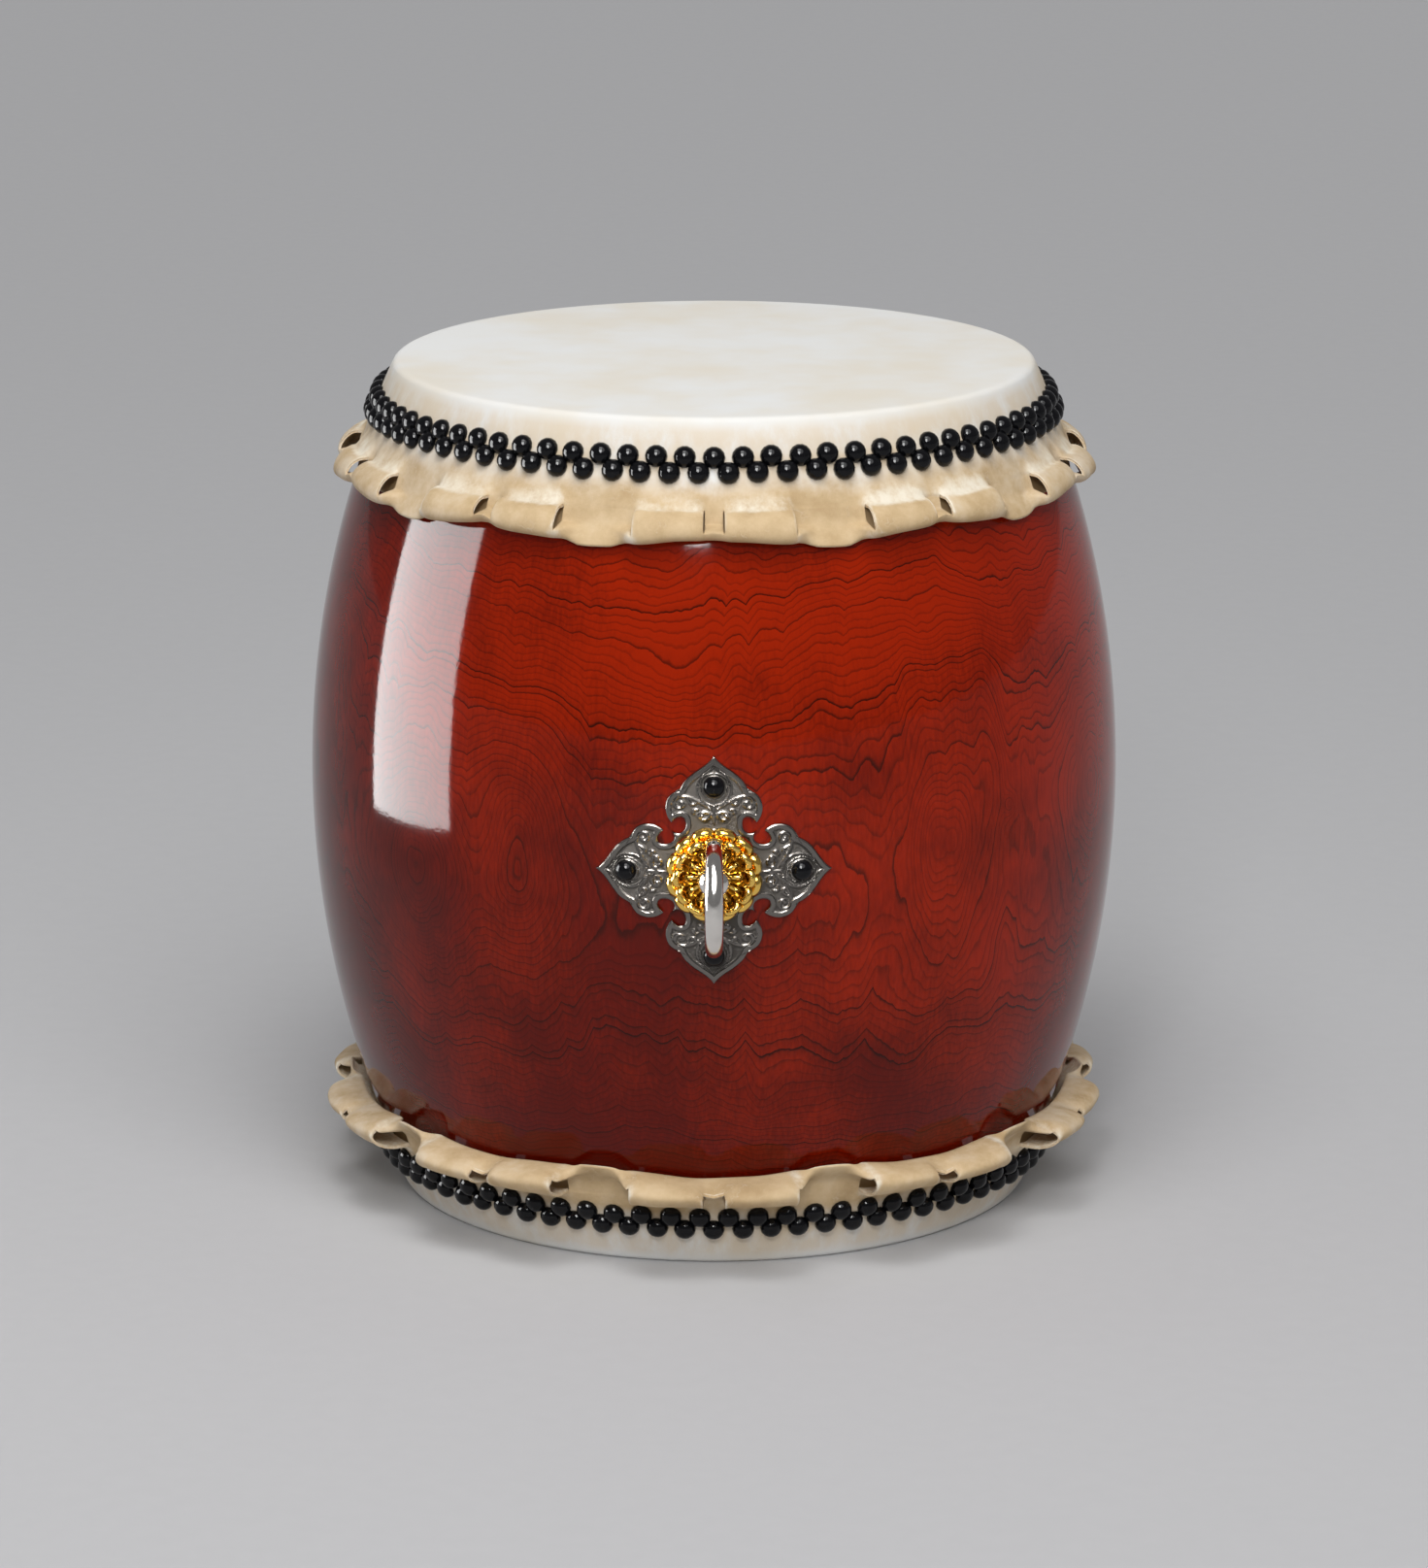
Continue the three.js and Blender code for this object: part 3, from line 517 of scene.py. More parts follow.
def pale_floor(colours):
    """Matt pale card with a very faint fibre."""
    finish = Finish("pale_floor", Specular_IOR_Level=0.05)
    fibre = finish.noise(finish.place(), scale=60, detail=3)
    return finish.wear(Base_Color=finish.mix(fibre, colours.floor, shaded(colours.floor, FLOOR_SHADE)),
                       Roughness=fibre.between(0.75, 0.85))


# Surfaces

def circle(sides):
    """Angles of a whole turn, without the last, which would be the first again."""
    return np.linspace(0, FULL_TURN, sides, endpoint=False)


def polar(radius, angle, height):
    """Points at a radius, an angle from the front towards +X, and a height."""
    radius, angle, height = np.broadcast_arrays(radius, angle, height)
    return np.stack([radius * np.sin(angle), -radius * np.cos(angle), height], axis=-1)


def numbered(rows, columns, close_rows=False, close_columns=False):
    """Point numbers of a grid, with its first row or column again at the end where it closes."""
    numbers = np.arange(rows * columns).reshape(rows, columns)
    if close_rows:
        numbers = np.vstack([numbers, numbers[:1]])
    if close_columns:
        numbers = np.hstack([numbers, numbers[:, :1]])
    return numbers


def quads_of(numbers):
    """The quads between neighbours of a grid of point numbers."""
    corners = [numbers[:-1, :-1], numbers[1:, :-1], numbers[1:, 1:], numbers[:-1, 1:]]
    return np.stack(corners, axis=-1).reshape(-1, 4)


def faces_of(quads):
    """Faces with four corners, and the ones with three, where two corners of a quad share a point."""
    doubled = quads == np.roll(quads, -1, axis=1)
    times = doubled.sum(axis=1)
    return quads[times == 0], quads[times == 1][~doubled[times == 1]].reshape(-1, 3)


def inside_out(points, fours, threes):
    """Whether a closed surface's volume, the sum of a . (b x c) over its triangles, is negative."""
    fans = np.vstack([fours[:, [0, 1, 2]], fours[:, [0, 2, 3]], threes])
    a, b, c = (points[fans[:, corner]] for corner in range(3))
    return np.einsum("ij,ij->i", a, np.cross(b, c)).sum() < 0


def make_piece(name, points, quads, materials, paints=None, sharp=35, inner=None):
    """A mesh object from points and quads. Unused points are dropped, and a surface that is inside out
    is turned. Edges over sharp degrees are hard. Faces whose points are all inner get the second
    material."""
    used, quads = np.unique(quads, return_inverse=True)
    fours, threes = faces_of(quads.reshape(-1, 4))
    points = np.asarray(points).reshape(-1, 3)[used]
    if inside_out(points, fours, threes):
        fours, threes = fours[:, ::-1], threes[:, ::-1]
    mesh = bpy.data.meshes.new(name)
    mesh.from_pydata(points.tolist(), [], fours.tolist() + threes.tolist())
    for material in materials:
        mesh.materials.append(material)
    if inner is not None:
        slots = np.concatenate([inner[used][faces].all(axis=1) for faces in (fours, threes)])
        mesh.polygons.foreach_set("material_index", slots.astype(np.int32))
    for paint, values in (paints or {}).items():
        layer = mesh.attributes.new(paint, "FLOAT", "POINT")
        layer.data.foreach_set("value", np.asarray(values, np.float32).reshape(-1)[used])
    mesh.shade_smooth()
    mesh.set_sharp_from_angle(angle=math.radians(sharp))
    mesh.validate()
    made = bpy.data.objects.new(name, mesh)
    bpy.context.scene.collection.objects.link(made)
    return made


def settle(made, body, slot, *nodes):
    """Puts a piece on its body, in place of its CAD nodes. The slot is not used."""
    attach(made, body)
    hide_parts(*nodes)


def to_side(points, turn):
    """Points of the front, turned half a turn about the drum's axis for the rear."""
    return points * (math.cos(turn), math.cos(turn), 1)


def end_over_end(points, height):
    """Points of the upper end, turned about X to the lower end."""
    return points * (1, -1, -1) + (0, 0, height)


def bezier(places, shares):
    """Points of a cubic curve: each place weighed by its Bernstein share, for all shares at once."""
    t = np.asarray(shares, float)[..., None]
    a, b, c, d = (np.asarray(place, float) for place in places)
    return (1 - t) ** 3 * a + 3 * (1 - t) ** 2 * t * b + 3 * (1 - t) * t ** 2 * c + t ** 3 * d


def smooth(values, low, high):
    """Rises smoothly from 0 at low to 1 at high."""
    t = np.clip((values - low) / (high - low), 0, 1)
    return t * t * (3 - 2 * t)


def span(values, start, full, fading, end):
    """Rises smoothly from 0 at start to 1 at full, and falls from 1 at fading to 0 at end."""
    return smooth(values, start, full) * (1 - smooth(values, fading, end))


def bell(distance, width):
    """Falls off from 1 as exp(-(distance / width)^2)."""
    return np.exp(-(distance / width) ** 2)


RIPPLE_WAVES = (3, 5, 8, 13, 21, 34)
RIPPLE_LEAN, RIPPLE_PEAK = 12 * MM, 1.4


def ripple(angle, height, seed):
    """A smooth random field round the drum, between about -1 and 1: sines of whole numbers of waves."""
    chance = np.random.default_rng(seed)
    total = 0
    for waves in RIPPLE_WAVES:
        phase, lean = chance.uniform(0, FULL_TURN), chance.uniform(-1, 1)
        total = total + np.sin(waves * angle + lean * height / RIPPLE_LEAN + phase)
    return total / math.sqrt(len(RIPPLE_WAVES)) / RIPPLE_PEAK


class Barrel:
    """The barrel's outline: one circular arc through the belly and both ends."""

    def __init__(self, scene):
        sizes = scene.taiko_barrel
        skin = scene.taiko_skin.thickness + sizes.gap
        self.gap = sizes.gap
        self.height = sizes.height
        self.middle = sizes.height / 2
        self.half = self.middle - skin
        self.belly = sizes.belly_width / 2
        self.end = sizes.head_width / 2 - skin
        bulge = self.belly - self.end
        self.arc = (self.half ** 2 + bulge ** 2) / (2 * bulge)

    def radius(self, height):
        """Radius of the wood at a height h: belly - arc + sqrt(arc^2 - (h - middle)^2)."""
        return self.belly - self.arc + np.sqrt(self.arc ** 2 - (height - self.middle) ** 2)

    def normal(self, height):
        """How far the wood faces out and up at a height."""
        rise = (height - self.middle) / self.arc
        return np.sqrt(1 - rise ** 2), rise

    def seat(self, angle, height, cover=0):
        """A place on the wood or on a cover over it, and the ways that face out, sideways and up."""
        flat, rise = self.normal(height)
        foot = polar(self.radius(height) + cover, angle, height)
        facing = polar(flat, angle, rise)
        sideways = np.stack([np.cos(angle), np.sin(angle), 0 * angle], -1)
        return foot, facing, sideways, np.cross(facing, sideways)


# The shell

SIDE_STEPS, CORNER_STEPS, INSIDE_STEPS, SHELL_COLUMNS = 112, 6, 30, 288


def shell_profile(barrel, sizes):
    """The wall's closed outline as radii and heights: barrel arc, rounded edges, lands and inner side."""
    low, high = barrel.middle - barrel.half, barrel.middle + barrel.half
    edge = sizes.bearing_edge
    sides = np.linspace(low + edge, high - edge, SIDE_STEPS + 1)
    corner = np.linspace(0, math.pi / 2, CORNER_STEPS + 1)[1:]
    centre = barrel.radius(high - edge) - edge
    top = np.stack([centre + edge * np.cos(corner), high - edge + edge * np.sin(corner)], -1)
    mouth = barrel.end - sizes.bearing_land
    inside = np.linspace(high - sizes.inner_chamfer, low + sizes.inner_chamfer, INSIDE_STEPS + 1)
    outline = np.vstack([
        np.stack([barrel.radius(sides), sides], -1),
        top,
        [[mouth, high]],
        np.stack([barrel.radius(inside) - sizes.wall, inside], -1),
        [[mouth, low]],
        (top * (1, -1) + (0, barrel.height))[::-1],
    ])
    hidden = np.zeros(len(outline), bool)
    hidden[len(sides) + len(top):-len(top)] = True
    return outline, hidden


def build_shell(scene):
    """Turns the outline about the axis. Inside, the radius follows flats: r cos(half) / cos(turn)."""
    barrel, sizes, colours = Barrel(scene), scene.taiko_barrel, scene.taiko_colours
    outline, hidden = shell_profile(barrel, sizes)
    angle = circle(SHELL_COLUMNS)
    half = math.pi / sizes.hewn_flats
    turn = (angle + half) % (2 * half) - half
    radius = outline[:, :1] * np.where(hidden[:, None], np.cos(half) / np.cos(turn), 1)
    points = polar(radius, angle, outline[:, 1:])
    quads = quads_of(numbered(len(outline), SHELL_COLUMNS, True, True))
    finishes = [lacquered_wood(colours), bare_wood(colours)]
    made = make_piece("barrel_shell", points, quads, finishes, inner=np.repeat(hidden, SHELL_COLUMNS))
    settle(made, "drum", "lacquered_wood", "shell")


# The skins

# Where a column lies: between the ears, on a roll, or on the strip between an ear's two rolls
FLAT, ROLL, STRIP = range(3)

# Rows and columns of the grid
SLIT_ROWS, HEM_ROWS = 20, 13
RIM_STEPS, BAND_STEPS, SWELL_STEPS, FLAT_STEPS = 7, 7, 8, 6
EDGE_STEPS = np.array([0, 0.5, 1.2, 2.4]) * MM
STRIP_STEPS = 3
FACE_SHARES = np.array([0, 0.25, 0.5, 0.7, 0.85, 0.94, 0.985])
ROLL_COLUMN_SHARES = np.linspace(0.1, 0.9, 9)

# The number of each random field round a skin, which is added to its seed
UNEVEN, SWELLING, HEM, FULLNESS, BUCKLING, PALENESS, LIP = range(1, 8)

# How the hide is drawn over the wood, down to the slits
BAND_MARGIN = 5 * MM
BAND_WAVE, SWELL_WAVE = 0.25 * MM, 0.35 * MM
SWELL_SOFT, SWELL_POWER, SWELL_SPREAD_SHARE = 1.8 * MM, 1.6, 0.2

# The rolls: their curve's middle points, how much they differ and how they fill out from the slits
ROLL_SHARES = ((0.06, 1.0), (1.26, 1.75))
ROLL_SPREAD_SHARES = (-0.13, 0.1)
FULL_SHARE, FULL_WAVE_SHARE, FULL_RISE_SHARE, FULL_REACH = 0.93, 0.04, 0.08, 14 * MM
HEM_WAVE, HEM_LIFT = 0.9 * MM, 0.5 * MM

# The hide between the rolls, and where it joins them below the slits
JOIN_SHARE, JOIN_REACH, FLAT_DIP = 0.16, 8 * MM, 1.5 * MM
LIP_SHARE, LIP_START_SHARE, LIP_SPREAD_SHARE = 0.33, 0.35, 0.3
BEND_RISE, BEND_REACH = 1.6 * MM, 4 * MM
BUCKLE_RISE, BUCKLE_SHARES = 0.5 * MM, (0.1, 0.6)

# The hide's thickness, thinner below the band, and its rounded edges
THIN_SHARE, THIN_END_SHARE = 0.25, 0.2
EDGE_ROUND_SHARE, EDGE_ROUND_REACH, EDGE_OPEN_SHARE = 0.28, 0.7 * MM, 0.3
HEM_ROUND_SHARE = 0.35

# Where the skirt starts, and how much less tan its sides are, as painted light; stains by the tacks; and
# hide painted pale, as stretched hide and as painted highlight: above the slits, along them and at the
# rolls' folds
SKIRT_START, SKIRT_SIDE_LIGHT_SHARE = 8 * MM, 0.14
STAIN_REACH, STAIN_EDGE_SHARE, STAIN_EDGE = 9 * MM, 0.62, (2 * MM, 12 * MM)
SHOULDER_START, SHOULDER_END_SHARE, SHOULDER_PALE_SHARES = 9 * MM, 0.22, (0.25, 0.5)
SLIT_PALE_REACH, SLIT_PALE_START_SHARE = 2.6 * MM, 0.2
FOLD_REACH, FOLD_START_SHARES = 6 * MM, (0.45, 0.7)
EDGE_PALE_SHARE, PALE_BASE_SHARE, PALE_SPREAD_SHARE, HEM_PALE_SHARE = 0.6, 0.85, 0.3, 0.5


class Hide:
    """One skin, as a grid of radii and heights: a column for each angle round the drum, and rows from
    the middle of the head over the rim, past the tacks and down the rolls to the hem."""

    def __init__(self, scene, slit_drop, roll_depth, slit_end, seed):
        self.barrel, self.sizes = Barrel(scene), scene.taiko_skin
        self.depth, self.seed = roll_depth, seed
        self.slit_drop, self.slit_end = slit_drop, slit_end
        opened = np.linspace(0, slit_end, SLIT_ROWS + 1)
        closed = np.linspace(slit_end, 1, HEM_ROWS + 1)
        self.steps = np.concatenate([opened, closed[1:]])
        self.slit_top = self.barrel.height - slit_drop
        self.band_end = self.barrel.height - self.sizes.tack_band + BAND_MARGIN
        self.around = self.resting(self.slit_top)
        self.slot = self.sizes.slot / 2 / self.around
        self.ear_half = self.sizes.ear_span / 2 / self.around
        self.place_columns()
        blocks = [self.head_rows(), self.band_rows(), self.swell_rows()]
        self.top_row = sum(len(radius) for radius, height in blocks) - 1
        self.end_row = self.top_row + SLIT_ROWS
        blocks.append(self.roll_rows(blocks[-1][0][-1]))
        self.radius, self.height = (np.vstack(rows) for rows in zip(*blocks))
        self.thicken()

    def resting(self, height):
        """Radius of the hide's outer face where it lies on the wood."""
        lying = self.sizes.thickness / self.barrel.normal(height)[0]
        return self.barrel.radius(height) + self.barrel.gap + lying

    def ripple(self, height, number):
        """One of the skin's own random fields."""
        return ripple(self.angle, height, self.seed + number)

    def every_column(self, heights):
        """The same value in every column of a row."""
        return np.repeat(heights, self.count, 1)

    def place_columns(self):
        """Columns close together beside each slit. A slit has two at the same angle. Both rolls of an
        ear and the strip between them lie about its middle, at local angle 0. The swelling is 1 over the
        rolls and falls off beside them as 1 / (1 + exp(distance / soft))."""
        half, edges = math.pi / self.sizes.ears, EDGE_STEPS / self.around
        width, near = self.ear_half - self.slot, edges[:STRIP_STEPS]
        rolled = np.concatenate([edges, ROLL_COLUMN_SHARES * width, width - edges[::-1]])
        flat = np.linspace(edges[-1], half - self.ear_half, FLAT_STEPS + 1)
        lying = np.concatenate([edges, flat[1:]])
        strip = np.concatenate([near, [self.slot], 2 * self.slot - near[::-1]])
        parts = ((FLAT, -self.ear_half - lying[::-1], 0, -1), (ROLL, -self.ear_half + rolled, 1, -1),
                 (STRIP, -self.slot + strip, 1, -1), (ROLL, self.slot + rolled, 1, -1),
                 (FLAT, self.ear_half + lying[:-1], 1, 0))
        columns = []
        for part, angles, first, last in parts:
            gape = np.zeros(len(angles))
            gape[0], gape[-1] = first, last
            columns.append(np.stack([angles, np.full(len(angles), part), gape], -1))
        one = np.vstack(columns)
        self.ear = np.repeat(np.arange(self.sizes.ears), len(one))
        self.local, part, self.gape = np.tile(one, (self.sizes.ears, 1)).T
        self.part = part.astype(int)
        self.angle = self.local + self.ear * 2 * half
        self.count = len(self.angle)
        aside = np.abs(self.local)
        self.from_fold = np.abs(aside - self.ear_half) * self.around
        self.from_slit = np.minimum(self.from_fold, np.abs(aside - self.slot) * self.around)
        outside = np.maximum(self.slot - aside, aside - self.ear_half) * self.around
        self.swelling = 1 / (1 + np.exp(outside / SWELL_SOFT))

    def head_rows(self):
        """Flat rows across the head, and an arc over the rim until it meets the slope of the side."""
        high, rim = self.barrel.height, self.sizes.rim
        lean = math.asin(self.barrel.normal(high - rim)[1])
        self.turn_height = high - rim * (1 - math.sin(lean))
        centre = self.resting(self.turn_height) - rim * math.cos(lean)
        bend = np.linspace(math.pi / 2, lean, RIM_STEPS + 1)
        radius = np.concatenate([FACE_SHARES * centre, centre + rim * np.cos(bend)])
        height = np.concatenate([0 * FACE_SHARES + high, high - rim + rim * np.sin(bend)])
        return self.every_column(radius[:, None]), self.every_column(height[:, None])

    def band_rows(self):
        """The stretch under the tacks, drawn tight on the wood."""
        band = np.linspace(self.turn_height, self.band_end, BAND_STEPS + 1)[1:, None]
        return self.resting(band) + BAND_WAVE * self.ripple(band, UNEVEN), self.every_column(band)

    def swell_rows(self):
        """Down to the top of the slits, standing out by swell t^power over each roll."""
        step = np.linspace(0, 1, SWELL_STEPS + 1)[1:, None]
        height = self.band_end + (self.slit_top - self.band_end) * step
        self.swell = self.sizes.swell * self.swelling * (1 + SWELL_SPREAD_SHARE * self.ripple(0, SWELLING))
        lifted = self.swell * step ** SWELL_POWER + SWELL_WAVE * self.ripple(height, UNEVEN)
        return self.resting(height) + lifted, self.every_column(height)

    def roll_rows(self, start_radius):
        """Down the slits and round to the hem. The rolls follow their curve, the hide between them lies
        on the wood, and below the slits it stands out to join them."""
        rise = self.sizes.hem_rise / 2 * np.cos(self.local * self.sizes.ears)
        low = self.slit_top - self.sizes.slit + rise + HEM_WAVE * self.ripple(0, HEM)
        start = np.stack([start_radius, np.full(self.count, self.slit_top)], -1)
        end = np.stack([self.resting(low) + HEM_LIFT, low], -1)
        near = np.where(self.part == FLAT, bell(self.from_slit, JOIN_REACH), 1)
        joining = near * smooth(self.steps[1:, None], self.slit_end - JOIN_SHARE, self.slit_end)
        standing = np.where(self.part == ROLL, 1, joining)
        lying = self.lying_rows(start[:, 1], low - FLAT_DIP * (1 - near))
        rolled = np.moveaxis(self.rolled_rows(start, end), -1, 0)
        return [flat + (curved - flat) * standing for flat, curved in zip(lying, rolled)]

    def rolled_rows(self, start, end):
        """A cubic curve out from the wood and back. Each roll has its own depth, and is fuller inwards."""
        chance = np.random.default_rng(self.seed)
        spread = 1 + chance.uniform(*ROLL_SPREAD_SHARES, 2 * self.sizes.ears)
        inwards = np.where(self.part == ROLL, self.from_slit, 0)
        full = FULL_SHARE + FULL_WAVE_SHARE * self.ripple(0, FULLNESS)
        full = full + FULL_RISE_SHARE * smooth(inwards, 0, FULL_REACH)
        depth = self.depth * spread[2 * self.ear + (self.local > 0)] * full
        down = end - start
        out = np.stack([-down[:, 1], down[:, 0]], -1) / np.linalg.norm(down, axis=1, keepdims=True)
        middle = [start + along * down + reach * out * depth[:, None] for along, reach in ROLL_SHARES]
        return bezier((start, *middle, end), self.steps[1:, None] * np.ones(self.count))

    def lying_rows(self, top, low):
        """On the wood, with (1 - t)^2 of the swell, a curl out to the hem between the ears, the slits'
        edges bent out by sin(pi t), and buckles."""
        step = self.steps[1:, None]
        height = top + step * (low - top)
        swell = self.swell * (1 - step) ** 2
        curl = LIP_SHARE * self.depth * smooth(step, LIP_START_SHARE, 1) * (self.part == FLAT)
        curl = curl * (1 + LIP_SPREAD_SHARE * self.ripple(0, LIP))
        bent = BEND_RISE * bell(self.from_slit, BEND_REACH) * np.sin(math.pi * step)
        buckles = BUCKLE_RISE * self.ripple(height, BUCKLING) * smooth(step, *BUCKLE_SHARES)
        return self.resting(height) + swell + curl + bent + buckles, height

    def thicken(self):
        """The inner face, a thickness off the outer one and square to it, and a round lip at the hem. A
        slit gapes by sin(pi t) between its ends, and its edges are rounded over."""
        slope_r, slope_z = np.gradient(self.radius, axis=0), np.gradient(self.height, axis=0)
        out = np.stack([-slope_z, slope_r]) / np.hypot(slope_r, slope_z)
        out[:, :len(FACE_SHARES)] = np.array([0, 1])[:, None, None]
        self.share = np.zeros((len(self.radius), 1))
        self.share[self.top_row:, 0] = self.steps
        opened = np.sin(math.pi * np.clip(self.share / self.slit_end, 0, 1))
        rounding = EDGE_ROUND_SHARE * bell(self.from_slit, EDGE_ROUND_REACH)
        rounding = rounding * smooth(opened, 0, EDGE_OPEN_SHARE)
        thick = self.sizes.thickness * (1 - THIN_SHARE * smooth(self.share, 0, THIN_END_SHARE))
        face = np.stack([self.radius, self.height])
        self.inner_radius, self.inner_height = face - thick * (1 - rounding) * out
        self.inner_radius = np.maximum(self.inner_radius, 0)
        last, onwards = out[:, -1], out[::-1, -1] * np.array([[1], [-1]])
        self.lip_radius, self.lip_height = face[:, -1] + thick[-1] * (HEM_ROUND_SHARE * onwards - last / 2)
        self.radius, self.height = face - thick * rounding * out
        self.turned = self.angle + self.gape * opened * self.sizes.slit_gape / 2 / self.around

    def points(self):
        """The outer face, the inner face and the round lip of the hem."""
        return np.concatenate([polar(self.radius, self.turned, self.height),
                               polar(self.inner_radius, self.turned, self.inner_height),
                               polar(self.lip_radius, self.angle, self.lip_height)[None]])

    def quads(self):
        """The faces. Both sides of a slit share their points above and below it, and walls close it."""
        rows, count = self.radius.shape
        left = np.flatnonzero(self.gape < 0)
        right = (left + 1) % count
        numbers = np.arange((2 * rows + 1) * count).reshape(-1, count)
        tied = np.ones(2 * rows + 1, bool)
        for first in (0, rows):
            tied[first + self.top_row + 1:first + self.end_row] = False
        numbers[np.ix_(tied, right)] = numbers[np.ix_(tied, left)]
        numbers[0], numbers[rows] = 0, numbers[rows, 0]
        numbers = np.hstack([numbers, numbers[:, :1]])
        outer, inner = numbers[:rows], numbers[rows:2 * rows]
        solid = np.ones(count, bool)
        solid[left] = False
        faces = []
        for block in (outer, inner[::-1], np.vstack([outer[-1:], numbers[-1:], inner[-1:]])):
            faces.append(quads_of(block).reshape(len(block) - 1, count, 4)[:, solid].reshape(-1, 4))
        slits = slice(self.top_row, self.end_row + 1)
        for columns, order in ((left, 1), (right, -1)):
            for column in columns:
                faces.append(quads_of(np.stack([outer[slits, column], inner[slits, column]])[::order]))
        return np.vstack(faces)

    def paled_and_highlit(self, drop):
        """Where the hide is painted pale above the rolls, along the slits and at the rolls' folds: partly
        stretched hide, partly painted highlight, most where the rolls swell out.
        """
        shoulder = smooth(drop, self.sizes.tack_band - SHOULDER_START, self.slit_drop)
        shoulder = shoulder * (1 - smooth(self.share, 0, SHOULDER_END_SHARE))
        base, more = SHOULDER_PALE_SHARES
        slit_ends = (0, SLIT_PALE_START_SHARE, self.slit_end - JOIN_SHARE, self.slit_end)
        edge = bell(self.from_slit, SLIT_PALE_REACH) * span(self.share, *slit_ends) * (self.part == ROLL)
        fold = bell(self.from_fold, FOLD_REACH) * smooth(self.share, *FOLD_START_SHARES)
        # Painted highlight, partly stretched hide: paler where the rolls swell out, along the slits and at
        # the folds
        pale = shoulder * (base + more * self.swelling) + EDGE_PALE_SHARE * (edge + fold)
        return pale * (PALE_BASE_SHARE + PALE_SPREAD_SHARE * self.ripple(self.height, PALENESS))

    def paints(self):
        """What the finish reads: how far down the skirt, less at its sides as painted light, where the hide
        is stained, where it is painted pale as stretched hide and as painted highlight, and what faces the
        wood."""
        drop = self.barrel.height - self.height
        tacks = self.sizes.tack_drop + self.sizes.row_step / 2
        skirt = smooth(drop, tacks - SKIRT_START, self.slit_drop)
        # Painted light: the skirt is less tan towards the drum's sides, where more light falls
        skirt = skirt * (1 - SKIRT_SIDE_LIGHT_SHARE * (1 - np.cos(2 * self.angle)))
        stain = np.maximum(bell(drop - tacks, STAIN_REACH), STAIN_EDGE_SHARE * smooth(drop, *STAIN_EDGE))
        pale = self.paled_and_highlit(drop)
        inside = smooth(self.barrel.height - self.inner_height, self.sizes.tack_band, self.slit_drop)
        hem = np.zeros((1, self.count))
        return {"skirt": np.concatenate([skirt, skirt, skirt[-1:]]),
                "pale_and_highlight": np.concatenate([pale, 0 * pale, hem + HEM_PALE_SHARE]),
                "stain": np.concatenate([stain, 0 * stain, hem]),
                "hidden": np.concatenate([0 * skirt, inside, hem])}


def build_skin(scene, name, node, rolls, seed, turned_over):
    """Both skins are made at the upper end. The lower one is then turned over."""
    hide = Hide(scene, *rolls, seed)
    points = hide.points()
    if turned_over:
        points = end_over_end(points, hide.barrel.height)
    made = make_piece(name, points, hide.quads(), [rawhide(scene.taiko_colours)], hide.paints(), sharp=60)
    settle(made, "drum", "rawhide", node)


# The tacks and nails

# The angles up a dome at which its rings lie, and the small sizes of the heads
TACK_TURNS = (math.pi / 2, 1.2, 0.86, 0.56, 0.28, 0)
TACK_SIDES, TACK_FOOT_SHARE = 14, 0.96
TACK_LIP, TACK_STRAY, TACK_SEAT = 0.35 * MM, 0.5 * MM, 0.15 * MM
NAIL_TURNS = np.linspace(math.pi / 2, 0, 9)
NAIL_SIDES, NAIL_FOOT_SHARE, NAIL_TAPER_SHARE = 28, 0.97, 0.9
NAIL_LIP, NAIL_POINT = 0.5 * MM, 4 * MM


def domed(width, height, lip, foot_share, turns):
    """Outline of a head as reach and height, from its top to its foot. At turn t it is w cos t and h sin t
    over its lip, with w half its width."""
    dome = [(width / 2 * math.cos(t), lip + height * math.sin(t)) for t in turns]
    return dome + [(width / 2 * foot_share, 0)]


def revolved(outline, sides, seats):
    """Closed surfaces: one outline of reach and height, turned about the axis of each seat."""
    centre, along, first, second = (np.atleast_2d(part)[:, None, None] for part in seats)
    around = circle(sides)[:, None]
    reach, high = np.array(outline, float).T[..., None, None]
    points = centre + reach * (np.cos(around) * first + np.sin(around) * second) + high * along
    numbers = numbered(len(outline), sides, False, True)
    numbers[0], numbers[-1] = numbers[0, 0], numbers[-1, 0]
    before = np.arange(len(centre))[:, None, None] * len(outline) * sides
    return points.reshape(-1, 3), (quads_of(numbers) + before).reshape(-1, 4)


def build_tacks(scene, name, node, first_drop, seed, turned_over):
    """Two rows of domed heads in zigzag, each a little out of its place."""
    barrel, skin = Barrel(scene), scene.taiko_skin
    chance = np.random.default_rng(seed)
    number = np.arange(2 * skin.tacks)
    step = skin.row_step * barrel.normal(barrel.height - first_drop)[0]
    drop = first_drop + (number % 2) * step + chance.uniform(-TACK_STRAY, TACK_STRAY, len(number))
    angle = math.pi * number / skin.tacks + chance.uniform(-TACK_STRAY, TACK_STRAY, len(number)) / barrel.end
    height = barrel.height - drop
    hide = barrel.gap + skin.thickness / barrel.normal(height)[0]
    outline = domed(skin.tack_width, skin.tack_height, TACK_LIP, TACK_FOOT_SHARE, TACK_TURNS) + [(0, 0)]
    foot, facing, sideways, upwards = barrel.seat(angle, height, hide)
    seats = (foot + facing * TACK_SEAT, facing, sideways, upwards)
    points, quads = revolved(outline, TACK_SIDES, seats)
    if turned_over:
        points = end_over_end(points, barrel.height)
    made = make_piece(name, points, quads, [black_lacquer(scene.taiko_colours)], sharp=50)
    settle(made, "drum", "black_lacquer", node)


